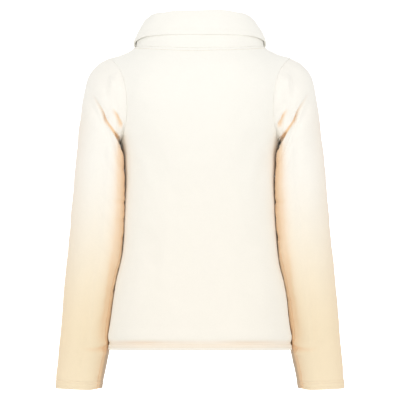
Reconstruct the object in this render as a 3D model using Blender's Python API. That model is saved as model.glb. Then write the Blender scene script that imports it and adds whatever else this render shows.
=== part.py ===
"""A zip-front fleece jacket with a turned-down collar, filled out as worn, with no wearer.

Metres, +Z up. +X is the wearer's left, the back faces +Y and the front -Y. The origin is on the
centre plane, inside the neck, level with the shoulders, where the wearer's shoulders hold it up.

The body is one smooth surface: level sections that close over a shoulder ridge. A place on it is
(turn, down): turn is the angle from centre back (0) to centre front (pi), and down is the length
of cloth below the ridge. Back and fronts are patches of that surface, cut along their seams, and
the sleeves and the collar start from the same seams. Every cloth piece is a wall of WALL.
"""

from collections import namedtuple

import bmesh
import bpy
import numpy as np
from mathutils import Matrix, Vector

# Cloth and seams
WALL = 0.0025
SEAM_GAP = 0.0003
MITRE_LIMIT = 2.0  # the longest step through the cloth at a seam, in walls

# Body: half width at the side seams, and depth from the centre plane to the front and the back
Section = namedtuple("Section", "z side front back")
SECTIONS = [
    Section(-0.600, 0.1735, 0.1180, 0.1160),
    Section(-0.570, 0.1735, 0.1180, 0.1160),
    Section(-0.540, 0.1728, 0.1175, 0.1160),
    Section(-0.500, 0.1688, 0.1160, 0.1140),
    Section(-0.464, 0.1640, 0.1140, 0.1110),
    Section(-0.433, 0.1578, 0.1125, 0.1070),
    Section(-0.405, 0.1515, 0.1115, 0.1030),
    Section(-0.370, 0.1477, 0.1110, 0.0990),
    Section(-0.330, 0.1457, 0.1130, 0.0985),
    Section(-0.285, 0.1443, 0.1180, 0.1010),
    Section(-0.235, 0.1435, 0.1225, 0.1060),
    Section(-0.196, 0.1467, 0.1225, 0.1100),
    Section(-0.177, 0.1510, 0.1215, 0.1120),
    Section(-0.120, 0.1620, 0.1150, 0.1140),
    Section(-0.060, 0.1760, 0.1010, 0.1100),
    Section(-0.010, 0.1930, 0.0930, 0.1010),
    Section(0.050, 0.2050, 0.0880, 0.0900),
]
HEM_Z = -0.570
UNDERARM_Z = -0.177
SQUARENESS = 2.4  # 2 makes each level section an ellipse
ROUND = 0.100  # how far below the ridge the cloth has turned to hang straight
RIDGE = [(0.0, 0.046), (0.06, 0.037), (0.1, 0.0215), (0.122, 0.0085), (0.137, -0.001)]
RIDGE += [(0.152, -0.0075), (0.165, -0.0105), (0.173, -0.013), (0.195, -0.021), (0.22, -0.033)]
RIDGE_PASSES = 6

# Seam lines on the body, as (x, z) seen from behind or from the front
BACK, FRONT = 1, -1
NECK_SIDE_X = 0.122
SHOULDER_TIP_X = 0.173
ARMHOLE = {
    BACK: [(0.146, -0.168), (0.1405, -0.150), (0.1375, -0.125), (0.1380, -0.095)],
    FRONT: [(0.1450, -0.169), (0.1360, -0.150), (0.1305, -0.122), (0.1325, -0.088)],
}
ARMHOLE[BACK] += [(0.1435, -0.064), (0.1545, -0.036)]
ARMHOLE[FRONT] += [(0.1415, -0.056), (0.1545, -0.031)]
NECK = {
    BACK: [(0.030, -0.0030), (0.060, -0.0015), (0.088, 0.0015), (0.110, 0.0055)],
    FRONT: [(0.035, -0.0745), (0.065, -0.0640), (0.090, -0.0440), (0.110, -0.0180)],
}
NECK_CENTRE_Z = {BACK: -0.0035, FRONT: -0.0780}
ROW_LEVEL = {BACK: -0.190, FRONT: -0.200}  # where the grid row from the underarm meets the centre

# How finely the cloth is cut up: each half panel has these steps along its edges
SIDE_STEPS, ARMHOLE_STEPS, SHOULDER_STEPS, NECK_STEPS = 13, 12, 3, 10
RELAX_PASSES = 5
FINE_STEPS = 600

# Sleeves: rings from the armhole to the cuff. Each has its outer and inner point as seen from
# behind, its depth to the back and front, how far it hangs forward, the share of the armhole's own
# shape that is left in it, and the steps to the next ring.
Ring = namedtuple("Ring", "out_x out_z in_x in_z back front forward armhole steps")
RINGS = [
    Ring(0.1730, -0.0130, 0.1510, -0.1770, 0.066, 0.066, 0.000, 1.00, 2),
    Ring(0.1955, -0.0260, 0.1535, -0.1795, 0.067, 0.066, 0.001, 0.75, 2),
    Ring(0.2125, -0.0470, 0.1538, -0.1835, 0.067, 0.065, 0.002, 0.45, 2),
    Ring(0.2205, -0.0780, 0.1520, -0.1895, 0.066, 0.064, 0.003, 0.22, 2),
    Ring(0.2268, -0.1150, 0.1498, -0.2000, 0.064, 0.062, 0.004, 0.08, 2),
    Ring(0.2316, -0.1550, 0.1475, -0.2200, 0.062, 0.060, 0.005, 0.00, 3),
    Ring(0.2373, -0.2080, 0.1462, -0.2560, 0.059, 0.058, 0.007, 0.00, 3),
    Ring(0.2441, -0.2850, 0.1470, -0.3100, 0.056, 0.055, 0.010, 0.00, 3),
    Ring(0.2509, -0.3650, 0.1505, -0.3800, 0.053, 0.052, 0.015, 0.00, 2),
    Ring(0.2593, -0.4427, 0.1632, -0.4480, 0.049, 0.048, 0.022, 0.00, 2),
    Ring(0.2652, -0.5150, 0.1735, -0.5150, 0.045, 0.045, 0.028, 0.00, 2),
    Ring(0.2707, -0.5750, 0.1788, -0.5750, 0.042, 0.042, 0.033, 0.00, 2),
    Ring(0.2768, -0.6440, 0.1880, -0.6480, 0.039, 0.040, 0.037, 0.00, 0),
]

# Largest folds: troughs between two (x, z) points, seen from behind or from the front
Fold = namedtuple("Fold", "piece facing start end depth width")
FOLDS = [
    Fold("sleeve", BACK, (0.2000, -0.0950), (0.1800, -0.1400), 0.0045, 0.014),
    Fold("sleeve", BACK, (0.1800, -0.1400), (0.1560, -0.1750), 0.0060, 0.013),
    Fold("sleeve", BACK, (0.1690, -0.1180), (0.1530, -0.1550), 0.0030, 0.011),
    Fold("sleeve", BACK, (0.1560, -0.3450), (0.2050, -0.3250), 0.0025, 0.016),
    Fold("sleeve", FRONT, (0.1950, -0.0900), (0.1600, -0.1650), 0.0050, 0.015),
    Fold("sleeve", FRONT, (0.1560, -0.3000), (0.2250, -0.3300), 0.0045, 0.016),
    Fold("sleeve", FRONT, (0.1580, -0.3450), (0.2150, -0.3700), 0.0035, 0.015),
    Fold("back", BACK, (0.1180, -0.1500), (0.0750, -0.2600), 0.0030, 0.024),
    Fold("back", BACK, (0.1000, -0.3300), (0.0850, -0.5000), 0.0030, 0.026),
    Fold("back", BACK, (0.0380, -0.3600), (0.0330, -0.5200), 0.0025, 0.024),
    Fold("front", FRONT, (0.1180, -0.1600), (0.0700, -0.2300), 0.0035, 0.020),
    Fold("front", FRONT, (0.1000, -0.3300), (0.0750, -0.4900), 0.0035, 0.026),
]
FOLD_FADE = 0.025  # depth over which a fold fades out towards the side

# Collar: the fold line along its top and the lower edge of the turned-down fall, each by the angle
# from centre back. Spread is its distance from the axis, as a share of the neck seam's.
CollarLine = namedtuple("CollarLine", "turn top_z top_spread edge_z edge_spread")
COLLAR = [
    CollarLine(0, 0.0682, 0.810, 0.0205, 1.045),
    CollarLine(40, 0.0685, 0.825, 0.0218, 1.040),
    CollarLine(60, 0.0640, 0.845, 0.0215, 1.032),
    CollarLine(75, 0.0565, 0.860, 0.0185, 1.026),
    CollarLine(90, 0.0470, 0.868, 0.0145, 1.025),
    CollarLine(105, 0.0355, 0.865, 0.0080, 1.035),
    CollarLine(120, 0.0225, 0.850, 0.0010, 1.045),
    CollarLine(135, 0.0090, 0.830, -0.0180, 1.050),
    CollarLine(150, -0.0030, 0.810, -0.0380, 1.045),
    CollarLine(165, -0.0120, 0.790, -0.0540, 1.035),
    CollarLine(180, -0.0160, 0.780, -0.0620, 1.030),
]
COLLAR_FOLD = 0.00225  # radius of the cloth's middle where it turns over
COLLAR_BOW = 0.0030  # how far stand and fall bow outwards between their edges
STAND_STEPS, TURN_STEPS, FALL_STEPS = 3, 4, 4

# Zip along centre front, in the gap between the fronts. Heights off the cloth are from the middle of
# the tape, which lies TAPE_GAP behind the fronts.
PIECE_GAP, TAPE_GAP = 0.0003, 0.0006
FRONT_EDGE_X = 0.0055
TAPE_THICKNESS, TAPE_IN_X, TAPE_OUT_X = 0.0007, 0.0028, 0.0160
CHAIN_HALF_WIDTH, CHAIN_HALF_DEPTH = 0.0025, 0.0012
TAPE_END = 0.0035  # below the neck seam
SLIDER_ROW = 2  # the slider is on the third stretch of the grid below the neck seam
SLIDER_HALF_LENGTH, SLIDER_HALF_WIDTH = 0.0055, 0.0046
PLATE_NEAR, PLATE_FAR = 0.0016, 0.0027
LIP_NEAR, LIP_WIDTH = 0.0008, 0.0009
WEDGE_HALF_WIDTH, WEDGE_LENGTH = 0.0012, 0.0030
PIVOT_RADIUS, PIVOT_GAP = 0.0006, 0.00045
BRIDGE_HALF_WIDTH, BRIDGE_WALL = 0.0008, 0.0009
PULL_LENGTH, PULL_HALF_WIDTH = 0.0300, 0.0034
SLOT_HALF_WIDTH, SLOT_LENGTH = 0.0013, 0.0042
STOP_IN_X, STOP_RISE, STOP_LENGTH = 0.0007, 0.0025, 0.0040
BOX_HALF_WIDTH, BOX_HALF_DEPTH, BOX_LENGTH, BOX_RISE = 0.0042, 0.0018, 0.0095, 0.0020


def unit(vectors):
    return vectors / np.linalg.norm(vectors, axis=-1, keepdims=True)


def spline(knots, values):
    """A function that runs smoothly through the values at these knots."""
    knots = np.asarray(knots, float)
    values = np.asarray(values, float)
    slopes = np.gradient(values, knots, axis=0)

    def at(place):
        place = np.clip(place, knots[0], knots[-1])
        left = np.clip(np.searchsorted(knots, place) - 1, 0, len(knots) - 2)
        span = knots[left + 1] - knots[left]
        share = (place - knots[left]) / span
        wider = np.shape(place) + (1,) * (values.ndim - 1)
        span, share = span.reshape(wider), share.reshape(wider)
        rest = 1 - share
        start = values[left] * (1 + 2 * share) * rest**2 + slopes[left] * span * share * rest**2
        end = values[left + 1] * (3 - 2 * share) - slopes[left + 1] * span * rest
        return start + end * share**2

    return at


LEVELS = [section.z for section in SECTIONS]
side_at = spline(LEVELS, [section.side for section in SECTIONS])
front_at = spline(LEVELS, [section.front for section in SECTIONS])
back_at = spline(LEVELS, [section.back for section in SECTIONS])
ridge_at = spline(*zip(*RIDGE))


# ---------------------------------------------------------------- the body's surface


def level_radius(turn, z):
    """Distance from the axis to the body's level section at z, in the direction turn."""
    depth = np.where(np.cos(turn) > 0, back_at(z), front_at(z))
    across = np.abs(np.sin(turn) / side_at(z)) ** SQUARENESS
    along = np.abs(np.cos(turn) / depth) ** SQUARENESS
    return (across + along) ** (-1 / SQUARENESS)


def body_point(turn, down):
    """The outer surface at (turn, down)."""
    rounding = np.minimum(down / ROUND, np.pi / 2)
    drop = ROUND * (1 - np.cos(rounding)) + np.maximum(down - ROUND * np.pi / 2, 0)
    x = 0.5 * SHOULDER_TIP_X * np.ones_like(turn)
    for _ in range(RIDGE_PASSES):
        z = ridge_at(np.abs(x)) - drop
        reach = level_radius(turn, z)
        x = reach * np.sin(turn)
    return np.stack([x, reach * np.cos(turn) * np.sin(rounding), z], -1)


def body_normal(turn, down):
    step = 1e-4
    around = body_point(turn + step, down) - body_point(turn - step, down)
    downward = body_point(turn, down + step) - body_point(turn, down - step)
    return unit(np.cross(around, downward))


def body_place(x, z, facing):
    """(turn, down) of the surface at x and z, on the half that faces back or front."""
    depth = back_at(z) if facing == BACK else front_at(z)
    share = np.clip(1 - (x / side_at(z)) ** SQUARENESS, 0, 1)
    turn = np.arctan2(x, facing * depth * share ** (1 / SQUARENESS))
    drop = np.maximum(ridge_at(x) - z, 0)
    rounded = ROUND * np.arccos(1 - np.minimum(drop / ROUND, 1))
    return np.stack([turn, rounded + np.maximum(drop - ROUND, 0)], -1)


def places_along(outline, facing, steps):
    """Places equally far apart on the cloth, along the smooth curve through (x, z) points."""
    outline = np.array(outline)
    lengths = np.linalg.norm(np.diff(outline, axis=0), axis=1)
    run = np.concatenate([[0], np.cumsum(lengths)])
    close_at_ends = (1 - np.cos(np.linspace(0, np.pi, FINE_STEPS))) / 2
    fine = spline(run, outline)(run[-1] * close_at_ends)
    places = body_place(fine[:, 0], fine[:, 1], facing)
    on_cloth = body_point(places[:, 0], places[:, 1])
    cloth_run = np.concatenate([[0], np.cumsum(np.linalg.norm(np.diff(on_cloth, axis=0), axis=1))])
    wanted = np.linspace(0, cloth_run[-1], steps + 1)
    return np.stack([np.interp(wanted, cloth_run, places[:, k]) for k in (0, 1)], -1)


def centre_x(facing):
    return 0.0 if facing == BACK else FRONT_EDGE_X


def armhole_places(facing):
    """From the underarm up to the shoulder tip."""
    underarm = (float(side_at(UNDERARM_Z)), UNDERARM_Z)
    tip = (SHOULDER_TIP_X, float(ridge_at(SHOULDER_TIP_X)))
    places = places_along([underarm, *ARMHOLE[facing], tip], facing, ARMHOLE_STEPS)
    places[0, 0] = np.pi / 2
    places[-1, 1] = 0
    return places


def neck_places(facing):
    """From the centre to the shoulder seam."""
    centre = (centre_x(facing), NECK_CENTRE_Z[facing])
    side = (NECK_SIDE_X, float(ridge_at(NECK_SIDE_X)))
    places = places_along([centre, *NECK[facing], side], facing, NECK_STEPS)
    places[-1, 1] = 0
    return places


def patch_places(facing):
    """A half panel's grid: rows from the hem to the neck, columns from the centre outwards. Its
    outer edge runs up the side seam, the armhole and the shoulder."""
    hem_turn = body_place(centre_x(facing), HEM_Z, facing)[0]
    turns = np.linspace(hem_turn, np.pi / 2, NECK_STEPS + 1)
    hem_x = level_radius(turns, HEM_Z) * np.sin(turns)
    hem = np.stack([turns, body_place(hem_x, HEM_Z, facing)[:, 1]], -1)

    side_z = np.linspace(HEM_Z, UNDERARM_Z, SIDE_STEPS + 1)
    side = body_place(side_at(side_z), side_z, facing)
    side[:, 0] = np.pi / 2
    shoulder_x = np.linspace(SHOULDER_TIP_X, NECK_SIDE_X, SHOULDER_STEPS + 1)[1:]
    shoulder = body_place(shoulder_x, ridge_at(shoulder_x), facing)
    shoulder[:, 1] = 0
    outer_edge = np.concatenate([side, armhole_places(facing)[1:], shoulder])

    low_z = np.linspace(HEM_Z, ROW_LEVEL[facing], SIDE_STEPS + 1)
    high_steps = ARMHOLE_STEPS + SHOULDER_STEPS
    high_z = np.linspace(ROW_LEVEL[facing], NECK_CENTRE_Z[facing], high_steps + 1)
    centre = body_place(centre_x(facing), np.concatenate([low_z, high_z[1:]]), facing)
    neck = neck_places(facing)

    u = np.linspace(0, 1, len(hem))[None, :, None]
    v = np.linspace(0, 1, len(centre))[:, None, None]
    between_ends = (1 - v) * hem[None] + v * neck[None]
    between_sides = (1 - u) * centre[:, None] + u * outer_edge[:, None]
    low = (1 - u) * hem[0] + u * hem[-1]
    high = (1 - u) * neck[0] + u * neck[-1]
    places = between_ends + between_sides - (1 - v) * low - v * high
    for _ in range(RELAX_PASSES):
        rows, columns = places[:-2, 1:-1] + places[2:, 1:-1], places[1:-1, :-2] + places[1:-1, 2:]
        places[1:-1, 1:-1] = (rows + columns) / 4
    return places


def pressed(points, normals, piece, facing, middle_y=0.0):
    """The points moved in by the folds of this piece that show on this side."""
    total = np.zeros(points.shape[:-1])
    for fold in FOLDS:
        if fold.piece != piece or fold.facing != facing:
            continue
        start, run = np.array(fold.start), np.array(fold.end) - np.array(fold.start)
        place = points[..., [0, 2]] - start
        share = np.clip(place @ run / (run @ run), 0, 1)
        aside = np.linalg.norm(place - share[..., None] * run, axis=-1)
        total += fold.depth * np.exp(-((aside / fold.width) ** 2))
    fade = np.clip(facing * (points[..., 1] - middle_y) / FOLD_FADE, 0, 1)
    return points - normals * (total * fade)[..., None]


# ---------------------------------------------------------------- seams

# points: the seam on the outer surface. through: the step from the inner to the outer surface.
# away: the direction from the piece that is named first to the other.
Seam = namedtuple("Seam", "points through away")


def seam_between(points, first_normals, second_normals, along):
    middle = unit(first_normals + second_normals)
    share = np.maximum((middle * first_normals).sum(-1), 1 / MITRE_LIMIT)
    return Seam(points, middle * (WALL / share)[:, None], unit(np.cross(along, middle)))


def armhole_loop():
    """(turn, down) round the armhole: tip, back, underarm, front."""
    back = armhole_places(BACK)[::-1]
    front = armhole_places(FRONT)
    return np.concatenate([back, front[1:-1]])


def sleeve_rings():
    """The sleeve's stations, from the armhole to the cuff, each with the armhole's points."""
    places = armhole_loop()
    armhole = body_point(places[:, 0], places[:, 1])
    angle = np.linspace(0, 2 * np.pi, len(armhole), endpoint=False)
    across = np.array([0.0, 1.0, 0.0])
    local = None
    rings = []
    for ring in RINGS:
        outer = np.array([ring.out_x, 0, ring.out_z])
        inner = np.array([ring.in_x, 0, ring.in_z])
        middle = (outer + inner) / 2 - ring.forward * across
        up = (outer - inner) / 2
        out = np.cross(across, unit(up))
        if local is None:
            offset = armhole - middle
            local = np.stack([offset @ up / (up @ up), offset[:, 1], offset @ out], -1)
        depth = np.where(np.sin(angle) > 0, ring.back, ring.front)
        oval = np.stack([np.cos(angle), depth * np.sin(angle), 0 * angle], -1)
        shape = ring.armhole * local + (1 - ring.armhole) * oval
        rings.append(middle + shape[:, :1] * up + shape[:, 1:2] * across + shape[:, 2:] * out)
    places = [k + step / ring.steps for k, ring in enumerate(RINGS) for step in range(ring.steps)]
    return spline(np.arange(len(RINGS)), rings)(np.array([*places, len(RINGS) - 1]))


def ring_normals(rings):
    along = np.gradient(rings, axis=0)
    around = np.roll(rings, -1, axis=1) - np.roll(rings, 1, axis=1)
    return unit(np.cross(along, around))


def armhole_seam(rings):
    """From the body to the sleeve, round the armhole."""
    places = armhole_loop()
    points = rings[0]
    along = np.roll(points, -1, axis=0) - np.roll(points, 1, axis=0)
    body_side = body_normal(places[:, 0], places[:, 1])
    seam = seam_between(points, body_side, ring_normals(rings)[0], along)
    outward = np.sign(seam.away[:, 0].sum())
    return seam._replace(away=seam.away * outward)


def neck_line():
    """(turn, down) along the left half of the neck, from centre back to centre front."""
    return np.concatenate([neck_places(BACK), neck_places(FRONT)[-2::-1]])


def collar_line(base, turn, z, spread):
    """The points of a line round the collar, above the neck seam's points."""
    knots = np.radians([line.turn for line in COLLAR])
    plan = base[:, :2] * spline(knots, spread)(turn)[:, None]
    return np.concatenate([plan, spline(knots, z)(turn)[:, None]], axis=1)


def bowed(start, end, out, steps):
    """Points from start to end, bowed towards out, without the first."""
    share = np.linspace(0, 1, steps + 1)[1:, None, None]
    straight = start + share * (end - start)
    return straight + out * COLLAR_BOW * np.sin(np.pi * share)


def collar_path():
    """The middle of the collar's cloth: profiles from the neck seam over the fold to the edge."""
    places = neck_line()
    base = body_point(places[:, 0], places[:, 1])
    turn = np.arctan2(base[:, 0] / NECK_SIDE_X, base[:, 1] / back_at(0.0))
    _, top_z, top_spread, edge_z, edge_spread = zip(*COLLAR)
    top = collar_line(base, turn, top_z, top_spread)
    edge = collar_line(base, turn, edge_z, edge_spread)
    out = unit((edge - top) * np.array([1.0, 1.0, 0.0]))
    up = np.array([0.0, 0.0, 1.0])
    pivot = top + out * COLLAR_FOLD - up * COLLAR_FOLD
    angles = np.linspace(np.pi, 0, TURN_STEPS + 1)[:, None, None]
    turn_over = pivot + COLLAR_FOLD * (out * np.cos(angles) + up * np.sin(angles))
    stand = bowed(base, turn_over[0], out, STAND_STEPS)
    fall = bowed(turn_over[-1], edge, out, FALL_STEPS)
    return np.concatenate([base[None], stand, turn_over[1:], fall]), out


def neck_seam(path, out):
    """From the body to the collar, along the left half of the neck."""
    places = neck_line()
    rise = path[1] - path[0]
    along = np.gradient(path[0], axis=0)
    stand_side = unit(np.cross(rise, along))
    stand_side *= np.sign((stand_side * out).sum(-1, keepdims=True))
    body_side = body_normal(places[:, 0], places[:, 1])
    seam = seam_between(path[0], body_side, stand_side, along)
    upward = np.sign(seam.away[:, 2].sum())
    return seam._replace(away=seam.away * upward)


# ---------------------------------------------------------------- meshes


def add_piece(name, points, faces, material):
    mesh = bpy.data.meshes.new(name)
    mesh.from_pydata(np.asarray(points).reshape(-1, 3).tolist(), [], faces)
    tidy = bmesh.new()
    tidy.from_mesh(mesh)
    bmesh.ops.triangulate(tidy, faces=tidy.faces, quad_method="SHORT_EDGE")
    bmesh.ops.recalc_face_normals(tidy, faces=tidy.faces)
    tidy.to_mesh(mesh)
    tidy.free()
    mesh.shade_smooth()
    mesh.set_sharp_from_angle(angle=np.radians(50))
    piece = bpy.data.objects.new(name, mesh)
    piece.data.materials.append(material)
    jacket.objects.link(piece)
    return piece


def wall_faces(rows, columns, closed):
    """Quads of a wall whose points are its outer grid, then its inner grid, with its rims."""
    count = rows * columns

    def quad(a, b):
        return [a, b, b + count, a + count]

    faces = []
    last = columns if closed else columns - 1
    for row in range(rows - 1):
        for column in range(last):
            following = (column + 1) % columns
            near, far = row * columns, (row + 1) * columns
            outer = [near + column, near + following, far + following, far + column]
            faces += [outer, [count + corner for corner in reversed(outer)]]
    for column in range(last):
        following = (column + 1) % columns
        top = (rows - 1) * columns
        faces += [quad(following, column), quad(top + column, top + following)]
    if not closed:
        for row in range(rows - 1):
            near, far = row * columns, (row + 1) * columns
            faces += [quad(near, far), quad(far + columns - 1, near + columns - 1)]
    return faces


def add_wall(name, outer, inner, material, closed=False):
    rows, columns = outer.shape[:2]
    points = np.concatenate([outer.reshape(-1, 3), inner.reshape(-1, 3)])
    return add_piece(name, points, wall_faces(rows, columns, closed), material)


def mirrored(points):
    return points * np.array([-1.0, 1.0, 1.0])


def half_panel(facing, armhole, neck):
    """Outer and inner grids of the left half of the back, or of the left front."""
    places = patch_places(facing)
    turn, down = places[..., 0], places[..., 1]
    normals = body_normal(turn, down)
    outer = body_point(turn, down)
    piece = "back" if facing == BACK else "front"
    outer = pressed(outer, normals, piece, facing)
    through = WALL * normals

    if facing == BACK:
        arm_part = np.arange(ARMHOLE_STEPS, -1, -1)
        neck_part = np.arange(NECK_STEPS + 1)
    else:
        arm_part = np.arange(ARMHOLE_STEPS, 2 * ARMHOLE_STEPS + 1) % (2 * ARMHOLE_STEPS)
        neck_part = np.arange(2 * NECK_STEPS, NECK_STEPS - 1, -1)
    half_gap = SEAM_GAP / 2
    tip_row = SIDE_STEPS + ARMHOLE_STEPS
    through[SIDE_STEPS : tip_row + 1, -1] = armhole.through[arm_part]
    outer[SIDE_STEPS : tip_row + 1, -1] -= half_gap * armhole.away[arm_part]
    through[-1] = neck.through[neck_part]
    outer[-1] -= half_gap * neck.away[neck_part]
    outer[: SIDE_STEPS + 1, -1, 1] += facing * half_gap
    outer[tip_row:, -1, 1] += facing * half_gap
    return outer, outer - through


def whole_width(half):
    """Both halves of a grid whose first column is on the centre plane."""
    return np.concatenate([mirrored(half[:, :0:-1]), half], axis=1)


def add_body(armhole, neck, fleece):
    outer, inner = half_panel(BACK, armhole, neck)
    outer[:, 0, 0] = inner[:, 0, 0] = 0
    add_wall("back", whole_width(outer), whole_width(inner), fleece)
    outer, inner = half_panel(FRONT, armhole, neck)
    inner[:, 0, 0] = outer[:, 0, 0]
    add_wall("front_left", outer, inner, fleece)
    add_wall("front_right", mirrored(outer), mirrored(inner), fleece)
    return inner


def add_sleeves(rings, armhole, fleece):
    normals = ring_normals(rings)
    outer = rings.copy()
    for facing in (BACK, FRONT):
        middle_y = rings[..., 1].mean(axis=1, keepdims=True)
        outer = pressed(outer, normals, "sleeve", facing, middle_y)
    through = WALL * normals
    outer[0] = armhole.points + SEAM_GAP / 2 * armhole.away
    through[0] = armhole.through
    inner = outer - through
    add_wall("sleeve_left", outer, inner, fleece, closed=True)
    add_wall("sleeve_right", mirrored(outer), mirrored(inner), fleece, closed=True)


def add_collar(path, out, neck, fleece):
    """The stand's outer face turns over to become the underside of the fall."""
    along = np.gradient(path, axis=1)
    rise = np.gradient(path, axis=0)
    normals = unit(np.cross(rise, along))
    normals *= np.sign((normals[0] * out).sum())
    shift = WALL / 2 * normals
    outer, inner = path + shift, path - shift
    outer[0] = neck.points + SEAM_GAP / 2 * neck.away
    inner[0] = outer[0] - neck.through
    add_wall("collar", whole_width(outer), whole_width(inner), fleece)


# ---------------------------------------------------------------- zip


def zip_line(front_inner):
    """The tape's middle on the centre plane, its outward normal, and the step back at its outer
    edge, for each grid row of the front's inner face."""
    edge, beside = front_inner[:, 0], front_inner[:, 1]
    centre = edge * np.array([0.0, 1.0, 1.0])
    along = np.gradient(centre, axis=0)
    normal = unit(np.cross(np.array([1.0, 0.0, 0.0]), along))
    middle = centre - normal * (TAPE_GAP + TAPE_THICKNESS / 2)
    share = (TAPE_OUT_X - edge[:, 0]) / (beside[:, 0] - edge[:, 0])
    return middle, normal, share * (beside[:, 1] - edge[:, 1])


def between(line, low_z, high_z):
    """The stretch of a zip line between two heights: its rows, with the ends cut to those heights."""
    middle, normal, step_back = line
    heights = middle[:, 2]
    kept = heights[(heights > low_z) & (heights < high_z)]
    wanted = np.array([low_z, *kept, high_z])

    def read(values):
        return np.interp(wanted, heights, values)

    points = np.stack([read(middle[:, k]) for k in range(3)], -1)
    normals = unit(np.stack([read(normal[:, k]) for k in range(3)], -1))
    return points, normals, read(step_back)


def add_bar(name, sections, material):
    """A solid bar through four-cornered sections."""
    rows = len(sections)
    faces = [[3, 2, 1, 0], [4 * rows - 4, 4 * rows - 3, 4 * rows - 2, 4 * rows - 1]]
    for row in range(rows - 1):
        for k in range(4):
            a, b = 4 * row + k, 4 * row + (k + 1) % 4
            faces.append([a, b, b + 4, a + 4])
    return add_piece(name, sections, faces, material)


def tape_sections(line, side):
    points, normals, step_back = line
    across = np.array([side, 0.0, 0.0])
    back = np.stack([0 * step_back, step_back, 0 * step_back], -1)
    near, far = points + TAPE_IN_X * across, points + TAPE_OUT_X * across + back
    half = normals * TAPE_THICKNESS / 2
    return np.stack([near - half, near + half, far + half, far - half], 1)


def chain_sections(line):
    points, normals, _ = line
    across = np.array([CHAIN_HALF_WIDTH, 0.0, 0.0])
    half = normals * CHAIN_HALF_DEPTH
    corners = [points - across - half, points - across + half]
    corners += [points + across + half, points + across - half]
    return np.stack(corners, 1)


def frame_on(line, row, rise=0.0):
    """A frame on the zip in the middle of a grid stretch: x across, y up the zip, z outwards."""
    middle, _, _ = line
    start, end = middle[row], middle[row + 1]
    up = Vector(end - start).normalized()
    across = Vector((1, 0, 0))
    out = across.cross(up)
    place = Vector((start + end) / 2) + rise * up
    return Matrix.Translation(place) @ Matrix((across, up, out)).transposed().to_4x4()


def helper_object(name, shape, frame, collection):
    mesh = bpy.data.meshes.new(name)
    shape.to_mesh(mesh)
    shape.free()
    helper = bpy.data.objects.new(name, mesh)
    helper.matrix_world = frame
    collection.objects.link(helper)
    return helper


def block(low, high):
    shape = bmesh.new()
    low, high = Vector(low), Vector(high)
    placed = Matrix.Translation((low + high) / 2) @ Matrix.Diagonal((*(high - low), 1))
    bmesh.ops.create_cube(shape, size=1, matrix=placed)
    return shape


def round_bar(radius, half_length, centre, axis, segments=24):
    shape = bmesh.new()
    turned = Vector((0, 0, 1)).rotation_difference(Vector(axis)).to_matrix().to_4x4()
    placed = Matrix.Translation(centre) @ turned
    size = {"radius1": radius, "radius2": radius, "depth": 2 * half_length}
    bmesh.ops.create_cone(shape, cap_ends=True, segments=segments, matrix=placed, **size)
    return shape


def add_joined(name, frame, first, others, cutters, material):
    """One solid from overlapping shapes, with the cutters taken out of it."""
    piece = helper_object(name, first, frame, jacket)
    for operation, shapes in (("UNION", others), ("DIFFERENCE", cutters)):
        if not shapes:
            continue
        group = bpy.data.collections.new(f"{name}_{operation.lower()}")
        helpers.children.link(group)
        for k, shape in enumerate(shapes):
            helper = helper_object(f"{name}_{operation.lower()}_{k}", shape, frame, group)
            helper.hide_render = True
            helper.display_type = "WIRE"
        modifier = piece.modifiers.new(operation.title(), "BOOLEAN")
        modifier.operation = operation
        modifier.operand_type = "COLLECTION"
        modifier.collection = group
        modifier.solver = "EXACT"
    piece.data.materials.append(material)
    return piece


def pivot_height():
    return PLATE_FAR + PIVOT_GAP + PIVOT_RADIUS


def add_slider(frame, metal):
    """Two plates with lips, a wedge between them at the top, and a bridge for the pull tab."""
    width, length = SLIDER_HALF_WIDTH, SLIDER_HALF_LENGTH
    in_plate = (PLATE_NEAR + PLATE_FAR) / 2
    shapes = []
    for side in (-1, 1):
        near, far = sorted((side * PLATE_NEAR, side * PLATE_FAR))
        shapes.append(block((-width, -length, near), (width, length, far)))
        lip_low, lip_high = sorted((side * LIP_NEAR, side * in_plate))
        for edge in (-1, 1):
            in_x, out_x = sorted((edge * (width - LIP_WIDTH), edge * width))
            shapes.append(block((in_x, -length, lip_low), (out_x, length, lip_high)))
    wide, low = WEDGE_HALF_WIDTH, length - WEDGE_LENGTH
    shapes.append(block((-wide, low, -in_plate), (wide, length, in_plate)))
    wide, leg_in = BRIDGE_HALF_WIDTH, PIVOT_RADIUS + PIVOT_GAP
    leg_out, roof = leg_in + BRIDGE_WALL, pivot_height() + leg_in
    top = roof + BRIDGE_WALL
    shapes.append(block((-wide, -leg_out, in_plate), (wide, -leg_in, top)))
    shapes.append(block((-wide, leg_in, in_plate), (wide, leg_out, top)))
    shapes.append(block((-wide, -leg_out, roof), (wide, leg_out, top)))
    add_joined("zip_slider", frame, shapes[0], shapes[1:], [], metal)


def add_pull(frame, metal):
    """A flat tab on a round bar that turns under the slider's bridge. Its origin is on the bar."""
    on_bar = frame @ Matrix.Translation((0, 0, pivot_height()))
    wide, thick = PULL_HALF_WIDTH, PIVOT_RADIUS
    bar = round_bar(PIVOT_RADIUS, wide, (0, 0, 0), (1, 0, 0))
    end = round_bar(wide, thick, (0, wide - PULL_LENGTH, 0), (0, 0, 1))
    plate = block((-wide, wide - PULL_LENGTH, -thick), (wide, 0, thick))
    slot = block((-SLOT_HALF_WIDTH, -SLOT_LENGTH, -2 * thick), (SLOT_HALF_WIDTH, -thick, 2 * thick))
    add_joined("zip_pull", on_bar, plate, [bar, end], [slot], metal)
    return on_bar.translation


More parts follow.
